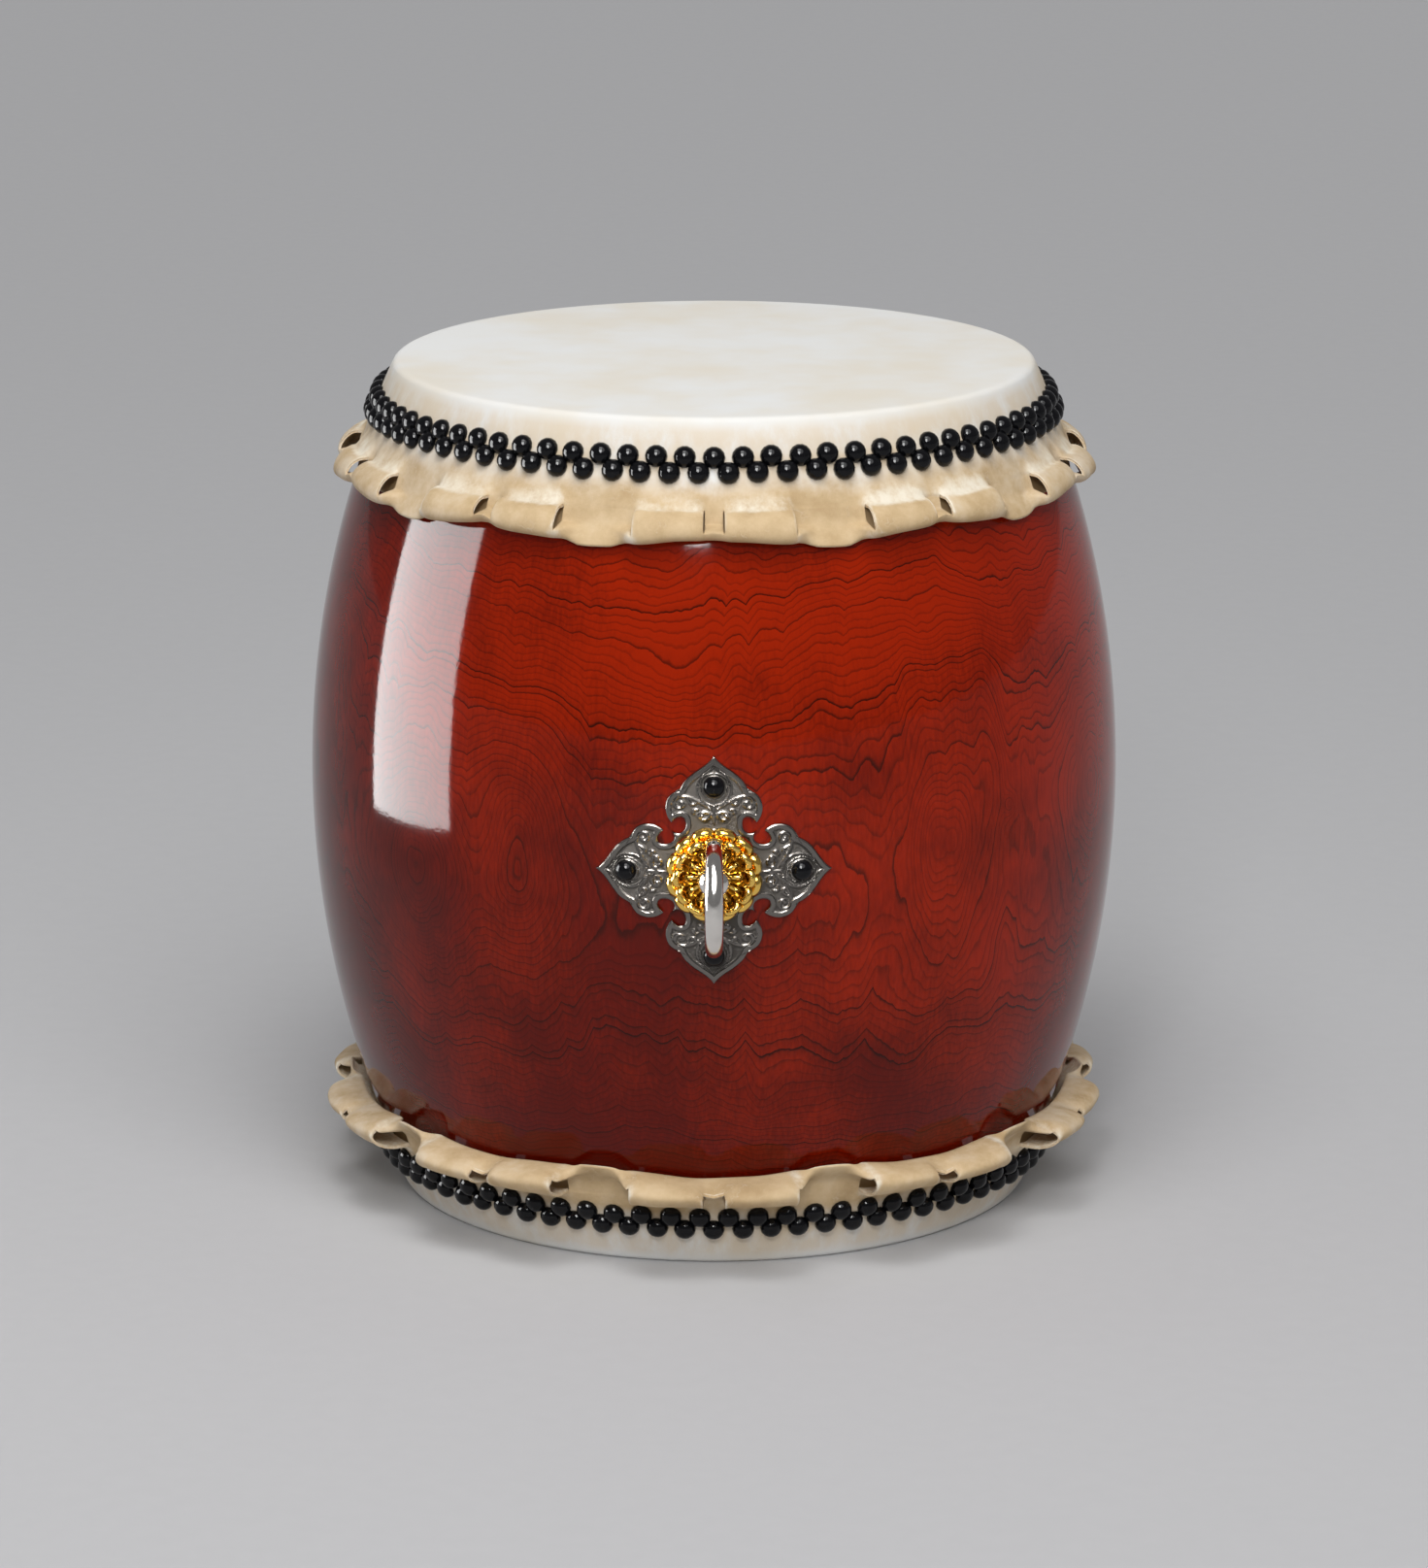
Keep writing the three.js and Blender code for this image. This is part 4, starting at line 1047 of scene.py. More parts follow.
def build_nails(scene, side, turn):
    """Four nails through the arms of a cross plate: domed heads on shanks that taper to a point."""
    barrel, fittings = Barrel(scene), scene.taiko_fittings
    reach, shank, deep = fittings.nail_reach, fittings.nail_shank / 2, fittings.nail_length
    finish = black_lacquer(scene.taiko_colours)
    outline = domed(fittings.nail_width, fittings.nail_height, NAIL_LIP, NAIL_FOOT_SHARE, NAIL_TURNS)
    outline += [(shank, 0), (shank * NAIL_TAPER_SHARE, NAIL_POINT - deep), (0, -deep)]
    for place, (across, up) in {"top": (0, reach), "right": (reach, 0),
                                "bottom": (0, -reach), "left": (-reach, 0)}.items():
        height = barrel.middle + up
        angle = math.asin(across / barrel.radius(height)) + turn
        foot, facing, sideways, upwards = barrel.seat(angle, height)
        seat = (foot + facing * stacked(scene)[0], facing, sideways, upwards)
        points, quads = revolved(outline, NAIL_SIDES, seat)
        made = make_piece(f"{side}_nail_{place}", points, quads, [finish], sharp=50)
        settle(made, "drum", "black_lacquer", f"{side}_plate_nail_{place}")


# The cross plates

# How high up a rosette the next piece of the handle sits
OUTER_SEAT_SHARE, INNER_SEAT_SHARE = 0.82, 0.5

# Half an arm's outline, from its tip to the next arm, and the places on its middle line that face it
ARMS = 4
ARM_SHARES = (
    ((0, 1), (0.055, 0.895), (0.235, 0.865), (0.29, 0.7)),
    ((0.29, 0.7), (0.4, 0.69), (0.455, 0.54), (0.361, 0.43)),
    ((0.361, 0.43), (0.33, 0.475), (0.245, 0.515), (0.2375, 0.43)),
    ((0.2375, 0.43), (0.23, 0.35), (0.3, 0.3), (0.359, 0.359)),
)
ARM_STEPS = (30, 36, 26, 28)
SPINE_SHARES = (0.97, 0.88, 0.85, 0.45, 0)
INWARD_STEPS, INWARD_POWER = 52, 1.25
WELD = 0.01 * MM

# How the plate is raised: its border, the boss under the rosettes, and a pad and a bead round each nail
BORDER_SHARES, BORDER_EDGE_SHARE, BORDER_EDGE = (0.86, 1.1), 0.55, 0.9 * MM
BOSS_REACHES, PAD_REACHES = (29 * MM, 31 * MM), (7.2 * MM, 7.9 * MM)
BEAD_SHARE, BEAD_REACH, BEAD_WIDTH = 0.7, 9.2 * MM, 0.55 * MM

# The scrolls on half an arm: each vein's curve, its width at both ends and its height
VEIN_STEPS, VEIN_WIDTH, VEIN_SWELL_SHARE, VEIN_POWER = 24, 1.15 * MM, 0.25, 2.5
VEIN_SHARES = (
    (((0, 0.42), (0.0, 0.48), (0.0, 0.52), (0, 0.57)), 0.5, 0.9, 0.9),
    (((0.02, 0.58), (0.19, 0.61), (0.17, 0.81), (0.04, 0.87)), 0.75, 0.45, 0.9),
    (((0.04, 0.87), (0.02, 0.885), (0.01, 0.9), (0, 0.925)), 0.45, 0.25, 0.8),
    (((0.10, 0.845), (0.17, 0.81), (0.24, 0.75), (0.255, 0.66)), 0.8, 0.35, 0.8),
    (((0.03, 0.55), (0.12, 0.60), (0.21, 0.68), (0.30, 0.645)), 0.5, 0.8, 1.0),
    (((0.30, 0.645), (0.35, 0.62), (0.345, 0.555), (0.29, 0.555)), 0.8, 0.7, 1.0),
    (((0.29, 0.555), (0.25, 0.56), (0.25, 0.605), (0.285, 0.605)), 0.7, 0.9, 1.0),
    (((0.225, 0.655), (0.215, 0.59), (0.165, 0.565), (0.155, 0.60)), 0.6, 0.8, 0.9),
    (((0.34, 0.60), (0.38, 0.60), (0.385, 0.55), (0.365, 0.53)), 0.5, 0.7, 0.8),
    (((0.0, 0.46), (0.03, 0.525), (0.09, 0.535), (0.12, 0.505)), 0.6, 0.9, 1.0),
    (((0.12, 0.505), (0.135, 0.485), (0.115, 0.47), (0.10, 0.485)), 1.0, 1.1, 1.0),
    (((0.03, 0.50), (0.045, 0.455), (0.075, 0.445), (0.095, 0.455)), 0.5, 1.0, 1.0),
    (((0.13, 0.54), (0.165, 0.55), (0.185, 0.53), (0.17, 0.51)), 0.5, 0.9, 0.9),
)


def stacked(scene):
    """How far off the wood the handle's pieces sit on each other: the plate's front, the feet of the
    outer and the inner rosette, and the eye's ball."""
    fittings, gap = scene.taiko_fittings, scene.taiko_barrel.gap
    plate = gap + fittings.plate_lift + fittings.plate
    outer = plate + gap
    inner = outer + OUTER_SEAT_SHARE * fittings.outer_height + gap
    ball = inner + INNER_SEAT_SHARE * fittings.inner_height + gap
    return plate, outer, inner, ball


def laid(barrel, across, up, lift):
    """Points over the barrel's front, lifted off it: u across and v up has y = -sqrt(r(v)^2 - u^2)."""
    radius = barrel.radius(barrel.middle + up) + lift
    return np.stack([across, -np.sqrt(radius ** 2 - across ** 2), barrel.middle + up], -1)


def welded(points):
    """Points that lie within a hundredth of a millimetre become one. Gives them and each one's number."""
    keys = np.round(points / WELD).astype(np.int64)
    _, first, numbers = np.unique(keys, axis=0, return_index=True, return_inverse=True)
    return points[first], numbers.reshape(-1)


def first_of(numbers, values):
    """The values of welded points, each from the first of its own points."""
    picked = np.zeros(numbers.max() + 1)
    picked[numbers[::-1]] = values[::-1]
    return picked


def plate_relief(across, along, edge, fittings):
    """Height over the field: border, boss, nail pads and veins, each a smooth step or ridge by distance."""
    border = 1 - smooth(edge, *(fittings.border * part for part in BORDER_SHARES))
    border = border * (BORDER_EDGE_SHARE + (1 - BORDER_EDGE_SHARE) * smooth(edge, 0, BORDER_EDGE))
    boss = 1 - smooth(np.hypot(across, along), *BOSS_REACHES)
    nail = np.hypot(across, along - fittings.nail_reach)
    pad = 1 - smooth(nail, *PAD_REACHES)
    bead = BEAD_SHARE * bell(nail - BEAD_REACH, BEAD_WIDTH)
    total = np.maximum.reduce([border, boss, pad, bead])
    step = np.linspace(0, 1, VEIN_STEPS)
    for places, wide_from, wide_to, tall in VEIN_SHARES:
        line = bezier(places, step) * fittings.plate_reach
        wide = wide_from + (wide_to - wide_from) * step + VEIN_SWELL_SHARE * np.sin(math.pi * step)
        away = np.hypot(across[..., None] - line[:, 0], along[..., None] - line[:, 1]) / (VEIN_WIDTH * wide)
        total = np.maximum(total, tall * np.exp(-np.min(away, axis=-1) ** VEIN_POWER))
    return total


def arm_grid(fittings):
    """Half an arm, as places across and along it from its middle line out to its edge, and how raised
    they are. The places are closer together near the edge."""
    outline, spine = [], []
    for part, steps in enumerate(ARM_STEPS):
        last = part == len(ARM_STEPS) - 1
        t = np.linspace(0, 1, steps + 1)[:None if last else -1]
        outline.append(bezier(ARM_SHARES[part], t))
        spine.append(SPINE_SHARES[part] + (SPINE_SHARES[part + 1] - SPINE_SHARES[part]) * t)
    outline = np.vstack(outline) * fittings.plate_reach
    spine = np.concatenate(spine) * fittings.plate_reach
    outwards = 1 - (1 - np.linspace(0, 1, INWARD_STEPS)) ** INWARD_POWER
    root = np.stack([0 * spine, spine], -1)[:, None]
    grid = root + (outline[:, None] - root) * outwards[:, None]
    across, along = grid[..., 0], grid[..., 1]
    edge = np.hypot(across[..., None] - outline[:, 0], along[..., None] - outline[:, 1]).min(axis=-1)
    return across, along, plate_relief(across, along, edge, fittings)


def build_plate(scene, side, turn):
    """Half an arm, mirrored and turned to every arm, with its front, edge and back laid on the barrel.
    A mirrored sheet has its rows the other way round, so that its faces look outwards too."""
    barrel, fittings = Barrel(scene), scene.taiko_fittings
    across, along, high = arm_grid(fittings)
    foot = barrel.gap + fittings.plate_lift
    level = foot + fittings.plate - fittings.relief * (1 - high)
    shade = np.concatenate([high, high[:, -1:], 0 * high[:, 1:]], axis=1)
    points, quads = [], []
    numbers = numbered(*shade.shape)
    for arm in range(ARMS):
        cos, sin = math.cos(arm * FULL_TURN / ARMS), math.sin(arm * FULL_TURN / ARMS)
        for mirror in (1, -1):
            u = mirror * across * cos + along * sin
            v = along * cos - mirror * across * sin
            back = laid(barrel, u[:, ::-1], v[:, ::-1], foot)
            quads.append(quads_of(numbers[::mirror] + len(points) * shade.size))
            points.append(np.concatenate([laid(barrel, u, v, level), back], axis=1).reshape(-1, 3))
    joined, numbers = welded(to_side(np.vstack(points), turn))
    raised = first_of(numbers, np.tile(shade.reshape(-1), len(points)))
    made = make_piece(f"{side}_plate_relief", joined, numbers[np.vstack(quads)],
                      [black_nickel(scene.taiko_colours)], {"raised": raised}, sharp=50)
    settle(made, "drum", "dark_nickel", f"{side}_cross_plate")


# The rosettes

PETAL_COLUMNS, PETAL_STEPS = 28, 12
OUTER_PETAL_SHARES = (
    ((0.84, 0), (0.9, 0), (0.955, 0.05), (0.975, 0.2)),
    ((0.975, 0.2), (1.02, 0.42), (1.0, 0.78), (0.95, 0.92)),
    ((0.95, 0.92), (0.92, 1.02), (0.85, 1.03), (0.80, 0.9)),
    ((0.80, 0.9), (0.77, 0.84), (0.75, 0.82), (0.7, 0.82)),
)
INNER_PETAL_SHARES = (
    ((0.72, 0), (0.8, 0.02), (0.93, 0.2), (0.98, 0.5)),
    ((0.98, 0.5), (1.02, 0.75), (0.99, 0.97), (0.92, 1.0)),
    ((0.92, 1.0), (0.85, 1.02), (0.83, 0.82), (0.74, 0.6)),
    ((0.74, 0.6), (0.62, 0.32), (0.5, 0.28), (0.38, 0.5)),
)

# Each petal's round edge, how far it falls to the grooves, what of the profile is crown or hollow, and how
# dark the grooves are painted, as toning of the gold and painted shade
PETAL_ARC_SHARE, NOTCH_SHARE, GROOVE_DEPTH = 0.985, 0.1, 4 * MM
NOTCH_SHARES, CROWN_REACH_SHARES, CROWN_HIGH_SHARES = (0.62, 0.9), (0.76, 0.86), (0.25, 1)
GROOVE_TONE_AND_SHADE, GROOVE_START_SHARE, GROOVE_TONE_AND_SHADE_SHARE = 2.2, 0.35, 0.7

# The spoons of the inner rosette, by how far they are from its middle, how dark their bowls are painted, as
# toning of the gold and painted shade, and the rods along them, which that paint spares
SPOON_ROW = 32
BOWL_REACHES = (9.5 * MM, 13 * MM, 22 * MM, 25.5 * MM)
BOWL_DEPTH, BOWL_LEVEL_SHARE = 3.6 * MM, 0.45
BOWL_TONE_AND_SHADE_REACHES, BOWL_TONE_AND_SHADE_SHARE = (23 * MM, 26 * MM), 0.85
ROD_REACHES = (10.5 * MM, 11.8 * MM, 17.5 * MM, 18.8 * MM)
ROD_HALF, ROD_HEIGHT, ROD_SHINE = 1.7 * MM, 2.6 * MM, 1.6


def petal_tier(fittings, inner, foot, bore):
    """A rosette as angles, reaches, heights and how dark its hollows are painted, as toning of the gold
    and painted shade. A petal's edge is an arc: reach and height fall towards the grooves by
    1 - sqrt(1 - s^2), where s is the share of half a petal."""
    radius = (fittings.inner_width if inner else fittings.outer_width) / 2
    tall = fittings.inner_height if inner else fittings.outer_height
    profile = INNER_PETAL_SHARES if inner else OUTER_PETAL_SHARES
    steps = np.linspace(0, 1, PETAL_STEPS, endpoint=False)
    rows = np.vstack([bezier(places, steps) for places in profile] + [[profile[-1][-1]]])
    out, high = rows[:, :1], rows[:, 1:]
    petal = np.arange(fittings.petals * PETAL_COLUMNS) / PETAL_COLUMNS
    aside = np.abs((petal + 0.5) % 1 - 0.5) * 2
    angle = (petal + (0 if inner else 0.5)) * FULL_TURN / fittings.petals
    arc = 1 - np.sqrt(1 - (PETAL_ARC_SHARE * aside) ** 2)
    reach = out * radius * (1 - NOTCH_SHARE * arc * smooth(out, *NOTCH_SHARES))
    crown = smooth(out, *CROWN_REACH_SHARES) * smooth(high, *CROWN_HIGH_SHARES)
    lift = high * tall - GROOVE_DEPTH * arc * crown
    # Painted shade and toning of the gold in the grooves between the petals
    hollow = np.clip(GROOVE_TONE_AND_SHADE * (arc - GROOVE_START_SHARE), 0, GROOVE_TONE_AND_SHADE_SHARE) * crown
    if inner:
        lift, hollow = spooned(reach, aside, lift, hollow, math.pi / fittings.petals)
    closing = np.array([[bore, high[-1, 0] * tall], [bore, 0]])[..., None] * np.ones(len(angle))
    reach, lift = np.vstack([reach, closing[:, 0]]), np.vstack([lift, closing[:, 1]])
    return angle, reach, np.maximum(lift, 0) + foot, np.vstack([hollow, 1 + 0 * closing[:, 0]])


def spooned(reach, aside, lift, hollow, half):
    """Hollows every petal inside the rim like a spoon, by s^2 across it, with a half-round rod along
    it, and paints the bowl dark as toning of the gold and painted shade, but not the rod. Half is the
    angle of half a petal."""
    past = np.arange(len(reach))[:, None] >= SPOON_ROW
    bowl = span(reach, *BOWL_REACHES) * (aside ** 2 - BOWL_LEVEL_SHARE)
    across = np.sqrt(np.maximum(1 - (aside * half * reach / ROD_HALF) ** 2, 0))
    rod = span(reach, *ROD_REACHES) * across
    # Painted shade and toning of the gold in the bowls, cleared on the rods
    toned_and_shaded = (1 - smooth(reach, *BOWL_TONE_AND_SHADE_REACHES)) * (1 - BOWL_TONE_AND_SHADE_SHARE * aside ** 4)
    hollow = np.where(past, toned_and_shaded, hollow) * (1 - np.clip(ROD_SHINE * rod, 0, 1))
    return lift + past * (BOWL_DEPTH * bowl + ROD_HEIGHT * rod), hollow


def build_rosettes(scene, side, turn):
    """Two tiers of petals round the stem, facing out of the barrel's front."""
    barrel, fittings, colours = Barrel(scene), scene.taiko_fittings, scene.taiko_colours
    finish = plated("gold", colours.gold, GOLD_SCRATCH, colours.gold_hollow_shade)
    outer_foot, inner_foot = stacked(scene)[1:3]
    bore = fittings.neck / 2 + barrel.gap
    for tier, foot in (("outer", outer_foot), ("inner", inner_foot)):
        angle, reach, out, hollow = petal_tier(fittings, tier == "inner", foot, bore)
        up = barrel.middle + reach * np.cos(angle)
        points = np.stack([reach * np.sin(angle), -barrel.belly - out, up], -1)
        quads = quads_of(numbered(*reach.shape, True, True))
        made = make_piece(f"{side}_{tier}_petals", to_side(points, turn), quads, [finish],
                          {"hollow": hollow}, sharp=65)
        settle(made, "drum", "gold", f"{side}_{tier}_rosette")


# The eyes and rings

# Steps and sides of the eye and the ring, and their small sizes
BEAD_STEPS, BEAD_SIDES, STEM_SIDES, STEM_STEPS = 32, 64, 32, 5
EYE_LIP, LIP_STEPS, LIP_TURNS = 0.7 * MM, 4, (0.3, math.pi / 2)
STEM_SEAT_SHARE = 0.74
LEG_BEND, BEND_STEPS, LEG_STEPS, LEG_SIDES, LEG_POWER = 6 * MM, 8, 5, 16, 0.35
RING_STEPS, RING_SIDES, RING_DROOP = 128, 40, math.radians(4)


def eye_reach(scene):
    """How far the middle of the eye is from the drum's axis."""
    return Barrel(scene).belly + stacked(scene)[-1] + scene.taiko_fittings.eye / 2


def swept(path, up, section):
    """A closed tube: the section's offsets along X and along each place's own up, carried down a path
    that lies in the plane of Y and Z."""
    across, along = section[:, :1] * (1, 0, 0), section[:, 1:] * np.broadcast_to(up, path.shape)[:, None]
    points = path[:, None] + across + along
    numbers = numbered(len(path) + 2, len(section), False, True)
    numbers[0], numbers[-1] = numbers[0, 0], numbers[-1, 0]
    ends = np.ones((1, len(section), 1))
    return np.concatenate([path[0] * ends, points, path[-1] * ends]).reshape(-1, 3), quads_of(numbers)


def eye_ball(barrel, fittings, reach):
    """A bead turned about an upright axis, so that its hole runs down through it, with rounded lips."""
    ball, hole = fittings.eye / 2, fittings.eye_hole / 2 + EYE_LIP
    limit = math.acos(hole / ball)
    turns = np.linspace(-limit, limit, BEAD_STEPS + 1)
    bead = ball * np.stack([np.cos(turns), np.sin(turns)], -1)
    lip = np.linspace(*LIP_TURNS, LIP_STEPS + 1)
    cap = (hole, bead[-1, 1] - EYE_LIP) + EYE_LIP * np.stack([-np.sin(lip), np.cos(lip)], -1)
    outline = np.vstack([bead, cap, (cap * (1, -1))[::-1]])
    points = polar(outline[:, :1], circle(BEAD_SIDES), barrel.middle + outline[:, 1:]) - (0, reach, 0)
    return points.reshape(-1, 3), quads_of(numbered(len(outline), BEAD_SIDES, True, True))


def eye_stem(barrel, fittings, start, end):
    """A round bar from one depth to another."""
    depth = np.linspace(start, end, STEM_STEPS + 1)
    around = circle(STEM_SIDES)
    path = np.stack([0 * depth, -depth, barrel.middle + 0 * depth], -1)
    return swept(path, (0, 0, 1), fittings.neck / 2 * np.stack([np.cos(around), np.sin(around)], -1))


def eye_leg(barrel, fittings, inside, way):
    """A flat leg of the stem, bent up or down against the washer. Its section is a rounded oblong: the
    cosine and the sine of each corner to a small power."""
    half = fittings.leg / 2
    bend = np.linspace(0, math.pi / 2, BEND_STEPS + 1)
    depth = inside - half + LEG_BEND * (1 - np.sin(bend))
    rise = half + LEG_BEND * (1 - np.cos(bend))
    straight = np.linspace(rise[-1], fittings.leg_reach, LEG_STEPS + 1)[1:]
    depth, rise = np.append(depth, depth[-1] + 0 * straight), np.append(rise, straight)
    path = np.stack([0 * depth, -depth, barrel.middle + way * rise], -1)
    tangent = np.gradient(path, axis=0)
    tangent /= np.linalg.norm(tangent, axis=1, keepdims=True)
    corner = np.stack([np.cos(circle(LEG_SIDES)), np.sin(circle(LEG_SIDES))], -1)
    section = (fittings.leg_width / 2, half) * np.sign(corner) * np.abs(corner) ** LEG_POWER
    points, quads = swept(path, np.cross(tangent, (1, 0, 0)), section)
    return points, quads[:, ::way]


def build_eye(scene, side, turn):
    """The ball that holds the ring, on a stem through the wall with two legs bent apart inside."""
    barrel, fittings = Barrel(scene), scene.taiko_fittings
    reach = eye_reach(scene)
    inside = min(abs(corner.y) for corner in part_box(f"{side}_inner_washer")) - barrel.gap
    stem_from, stem_to = reach - STEM_SEAT_SHARE * fittings.eye / 2, inside + LEG_BEND
    shapes = [eye_ball(barrel, fittings, reach), eye_stem(barrel, fittings, stem_from, stem_to)]
    shapes += [eye_leg(barrel, fittings, inside, way) for way in (1, -1)]
    before = np.cumsum([0] + [len(points) for points, quads in shapes])
    quads = np.vstack([quads + first for (points, quads), first in zip(shapes, before)])
    points = to_side(np.vstack([points for points, quads in shapes]), turn)
    finish = plated("silver", scene.taiko_colours.silver, SILVER_SCRATCH)
    made = make_piece(f"{side}_eye_bead", points, quads, [finish], sharp=40)
    settle(made, "drum", "silver", f"{side}_eye_pin")


def build_ring(scene, side, turn):
    """A bar bent in a circle: its radius grows from the eye to the grip by (1 - cos t) / 2, and the
    whole ring droops a few degrees. Half its bow within the ball centres the bar in the hole."""
    fittings, barrel = scene.taiko_fittings, Barrel(scene)
    thin, thick = fittings.ring_thin / 2, fittings.ring_thick / 2
    middle = (fittings.ring_width - thin - thick) / 2
    bow = (fittings.eye / 2) ** 2 / (4 * middle)
    around, about = circle(RING_STEPS)[:, None], circle(RING_SIDES)
    bar = thin + (thick - thin) * (1 - np.cos(around)) / 2
    reach = middle + bar * np.cos(about)
    y, z = bow - middle + reach * np.cos(around), reach * np.sin(around)
    cos, sin = math.cos(RING_DROOP), math.sin(RING_DROOP)
    points = np.stack([bar * np.sin(about), y * cos - z * sin - eye_reach(scene),
                       y * sin + z * cos + barrel.middle], -1)
    quads = quads_of(numbered(RING_STEPS, RING_SIDES, True, True))
    finish = plated("silver", scene.taiko_colours.silver, SILVER_SCRATCH)
    made = make_piece(f"{side}_ring_bar", to_side(points, turn), quads, [finish])
    settle(made, f"{side}_ring", "silver", f"{side}_ring")


# The studio

# Softboxes: name, place, what they face, width, height, radiance, and whether only reflections show them
SOFTBOXES = (
    ("left_softbox", (-1.1, -0.1, 0.47), (0, -0.1, 0.47), 0.58, 0.76, 15, True),
    ("overhead_softbox", (-0.2, -0.9, 2.3), (0, 0, 0.5), 0.8, 0.7, 7, False),
    ("front_softbox", (-0.35, -3.8, 2.34), (0, 0, 0.35), 0.5, 0.5, 42, False),
    ("high_softbox", (-0.5, -3.0, 2.95), (0, 0, 0.5), 1.4, 1.4, 26, True),
)
FLOOR_SIDES, FLOOR_REACHES = 96, np.array([0, 2, 6, 120])
DAYLIGHT, DAYLIGHT_WIDE, DAYLIGHT_TURN = 1.8, math.radians(50), (math.radians(38), 0, math.radians(8))
CAMERA_LENS, CAMERA_PLACE, CAMERA_TILT, CAMERA_END = 147.95, (0, -4.5, 1.443), 0.2515, 250


def put_up(name, data, place, turn):
    """An object for a lamp or the camera, at its place and turned."""
    made = bpy.data.objects.new(name, data)
    made.location, made.rotation_euler = place, turn
    bpy.context.scene.collection.objects.link(made)
    return made


def softbox(name, place, target, wide, tall, radiance, shapes_only):
    """A lamp that the camera doesn't see. Its power is radiance times area times pi."""
    lamp = bpy.data.lights.new(name, "AREA")
    lamp.shape = "RECTANGLE"
    lamp.size, lamp.size_y = wide, tall
    lamp.energy = radiance * wide * tall * math.pi
    turn = (Vector(target) - Vector(place)).to_track_quat("-Z", "Y").to_euler()
    made = put_up(name, lamp, place, turn)
    made.visible_camera = False
    made.visible_diffuse = not shapes_only


def build_studio(scene):
    """A pale floor, soft lamps, an even grey world and the camera."""
    numbers = numbered(len(FLOOR_REACHES), FLOOR_SIDES, False, True)
    numbers[0] = 0
    points = polar(FLOOR_REACHES[:, None], circle(FLOOR_SIDES), 0)
    floor = make_piece("floor", points, quads_of(numbers)[:, ::-1], [pale_floor(scene.taiko_colours)])
    for box in SOFTBOXES:
        softbox(*box)
    daylight = bpy.data.lights.new("wide_daylight", "SUN")
    daylight.energy, daylight.angle = DAYLIGHT, DAYLIGHT_WIDE
    put_up("wide_daylight", daylight, (0, 0, 0), DAYLIGHT_TURN)
    scene.world = bpy.data.worlds.new("studio_air")
    scene.world.use_nodes = True
    background = scene.world.node_tree.nodes["Background"]
    background.inputs["Color"].default_value = (*scene.taiko_colours.air, 1)
    camera = bpy.data.cameras.new("camera")
    camera.lens, camera.clip_end = CAMERA_LENS, CAMERA_END
    scene.camera = put_up("camera", camera, CAMERA_PLACE, (math.pi / 2 - CAMERA_TILT, 0, 0))
    scene.view_settings.view_transform = "Standard"


# Operators

class TAIKO_OT_shell(Operator):
    """Build the lacquered barrel shell"""
    bl_idname = "taiko.shell"
    bl_label = "Shell"

    def execute(self, context):
        build_shell(context.scene)
        return {"FINISHED"}


class TAIKO_OT_skins(Operator):
    """Build both hides with their rolled skirts"""
    bl_idname = "taiko.skins"
    bl_label = "Skins"

    def execute(self, context):
        skin = context.scene.taiko_skin
        upper = (skin.slit_drop, skin.upper_roll, skin.upper_slit_share)
        lower = (skin.lower_slit_drop, skin.lower_roll, skin.lower_slit_share)
        build_skin(context.scene, "upper_hide", "upper_skin", upper, UPPER_HIDE_SEED, False)
        build_skin(context.scene, "lower_hide", "lower_skin", lower, LOWER_HIDE_SEED, True)
        return {"FINISHED"}


class TAIKO_OT_tacks(Operator):
    """Build the two rows of tacks of each skin"""
    bl_idname = "taiko.tacks"
    bl_label = "Tacks"

    def execute(self, context):
        drop, lower_drop = context.scene.taiko_skin.tack_drop, context.scene.taiko_skin.lower_tack_drop
        build_tacks(context.scene, "upper_tack_heads", "upper_tacks", drop, UPPER_TACK_SEED, False)
        build_tacks(context.scene, "lower_tack_heads", "lower_tacks", lower_drop, LOWER_TACK_SEED, True)
        return {"FINISHED"}


class TAIKO_OT_plates(Operator):
    """Build the cross plates and their nails"""
    bl_idname = "taiko.plates"
    bl_label = "Cross plates"

    def execute(self, context):
        for side, turn in SIDES.items():
            build_plate(context.scene, side, turn)
            build_nails(context.scene, side, turn)
        return {"FINISHED"}


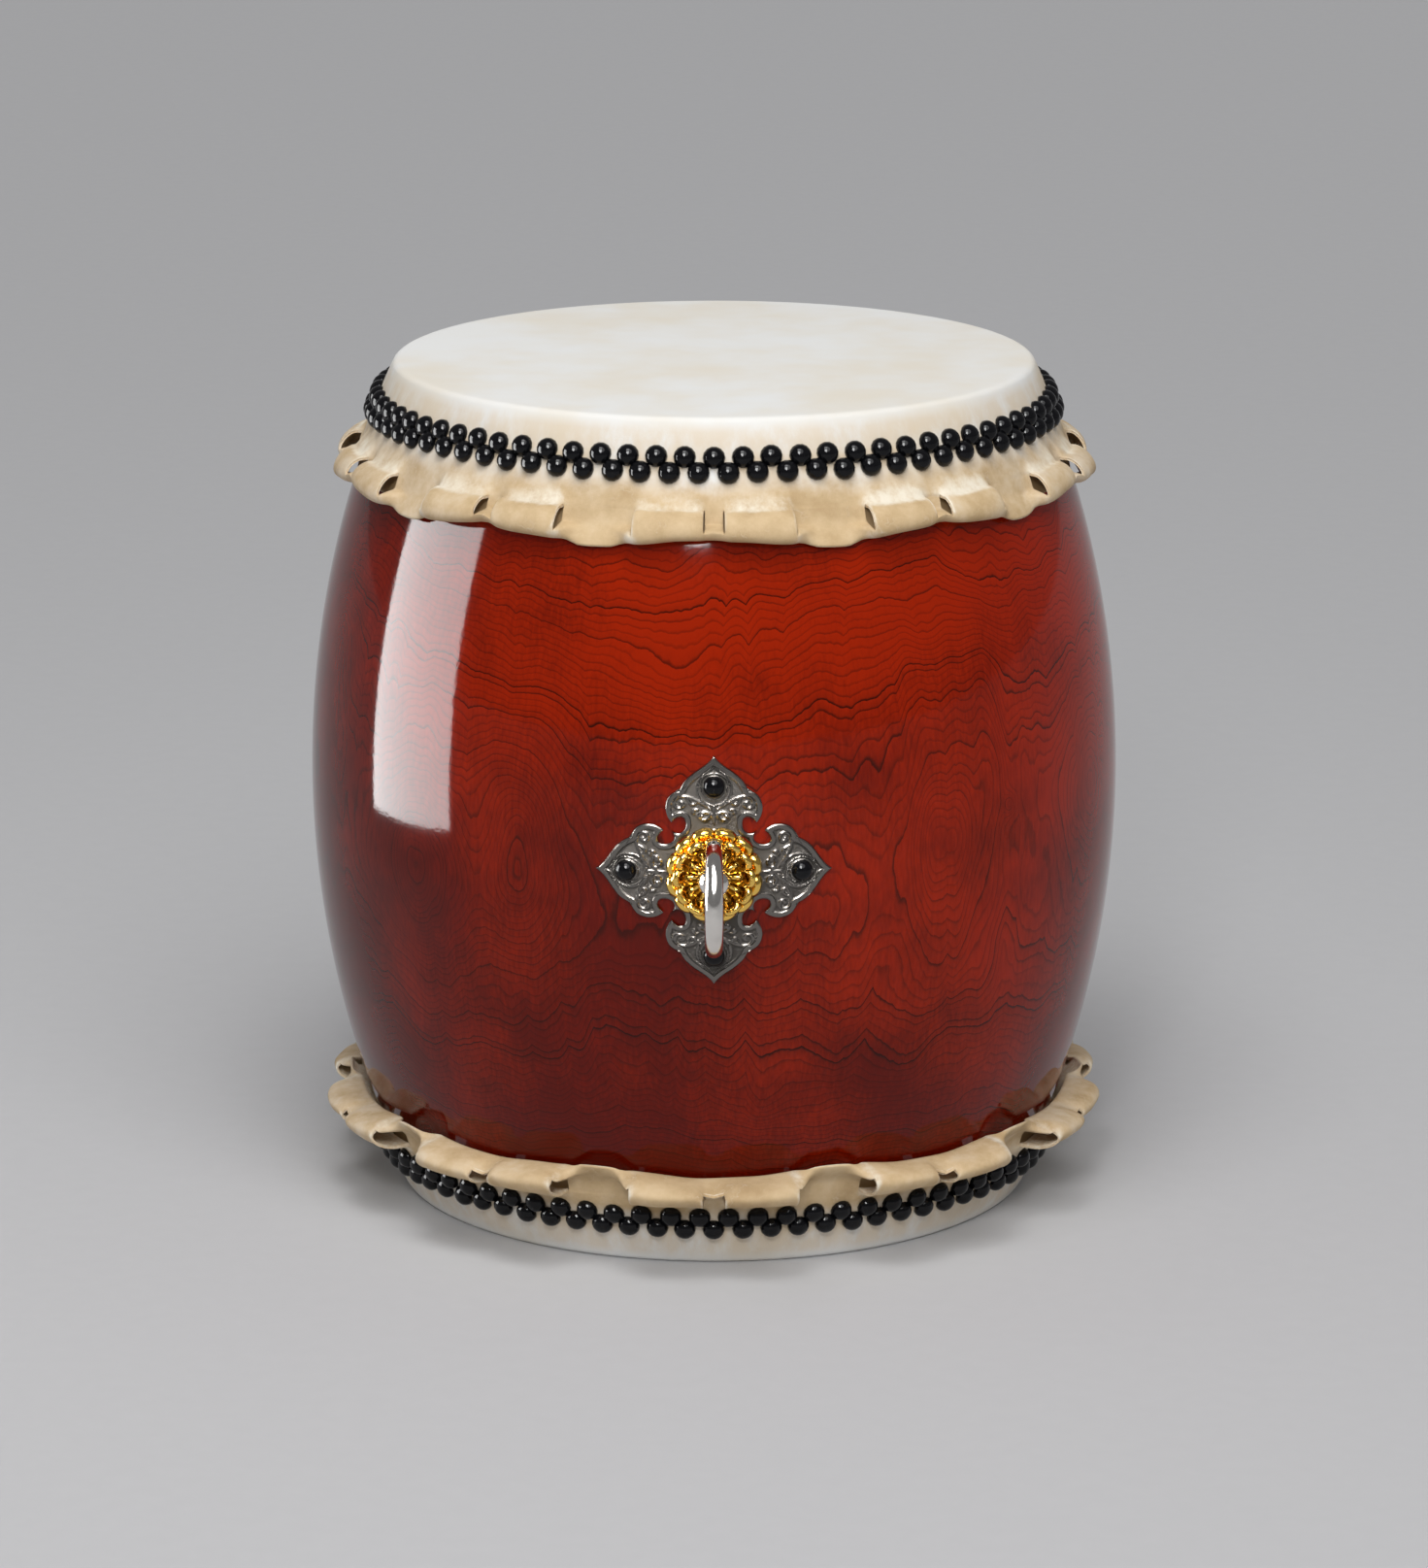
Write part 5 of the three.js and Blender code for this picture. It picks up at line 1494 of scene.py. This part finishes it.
class TAIKO_OT_rosettes(Operator):
    """Build the two tiers of petals under each ring"""
    bl_idname = "taiko.rosettes"
    bl_label = "Rosettes"

    def execute(self, context):
        for side, turn in SIDES.items():
            build_rosettes(context.scene, side, turn)
        return {"FINISHED"}


class TAIKO_OT_rings(Operator):
    """Build the eyes, their washers' finish and the ring handles"""
    bl_idname = "taiko.rings"
    bl_label = "Rings"

    def execute(self, context):
        steel = plated("steel", context.scene.taiko_colours.steel, STEEL_SCRATCH)
        for side, turn in SIDES.items():
            build_eye(context.scene, side, turn)
            build_ring(context.scene, side, turn)
            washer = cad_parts[f"{side}_inner_washer"]
            washer.data.materials.clear()
            washer.data.materials.append(steel)
        return {"FINISHED"}


class TAIKO_OT_studio(Operator):
    """Build the floor, the lamps and the camera"""
    bl_idname = "taiko.studio"
    bl_label = "Studio"

    def execute(self, context):
        build_studio(context.scene)
        return {"FINISHED"}


OPERATORS = (TAIKO_OT_studio, TAIKO_OT_shell, TAIKO_OT_skins, TAIKO_OT_tacks,
             TAIKO_OT_plates, TAIKO_OT_rosettes, TAIKO_OT_rings)


class TAIKO_PT_panel(Panel):
    """Lists the sizes, the colours and the operators"""
    bl_label = "Taiko"
    bl_space_type = "VIEW_3D"
    bl_region_type = "UI"
    bl_category = "Taiko"

    def draw(self, context):
        for operator in OPERATORS:
            self.layout.operator(operator.bl_idname)
        for group, kind in GROUPS.items():
            box = self.layout.box()
            for setting in kind.__annotations__:
                box.prop(getattr(context.scene, group), setting)


def register():
    for kind in (*GROUPS.values(), *OPERATORS, TAIKO_PT_panel):
        bpy.utils.register_class(kind)
    for group, kind in GROUPS.items():
        setattr(bpy.types.Scene, group, PointerProperty(type=kind))


def unregister():
    for group in GROUPS:
        delattr(bpy.types.Scene, group)
    for kind in reversed((*GROUPS.values(), *OPERATORS, TAIKO_PT_panel)):
        bpy.utils.unregister_class(kind)


def main():
    register()
    for operator in OPERATORS:
        family, action = operator.bl_idname.split(".")
        getattr(getattr(bpy.ops, family), action)()


if __name__ == "__main__":
    main()
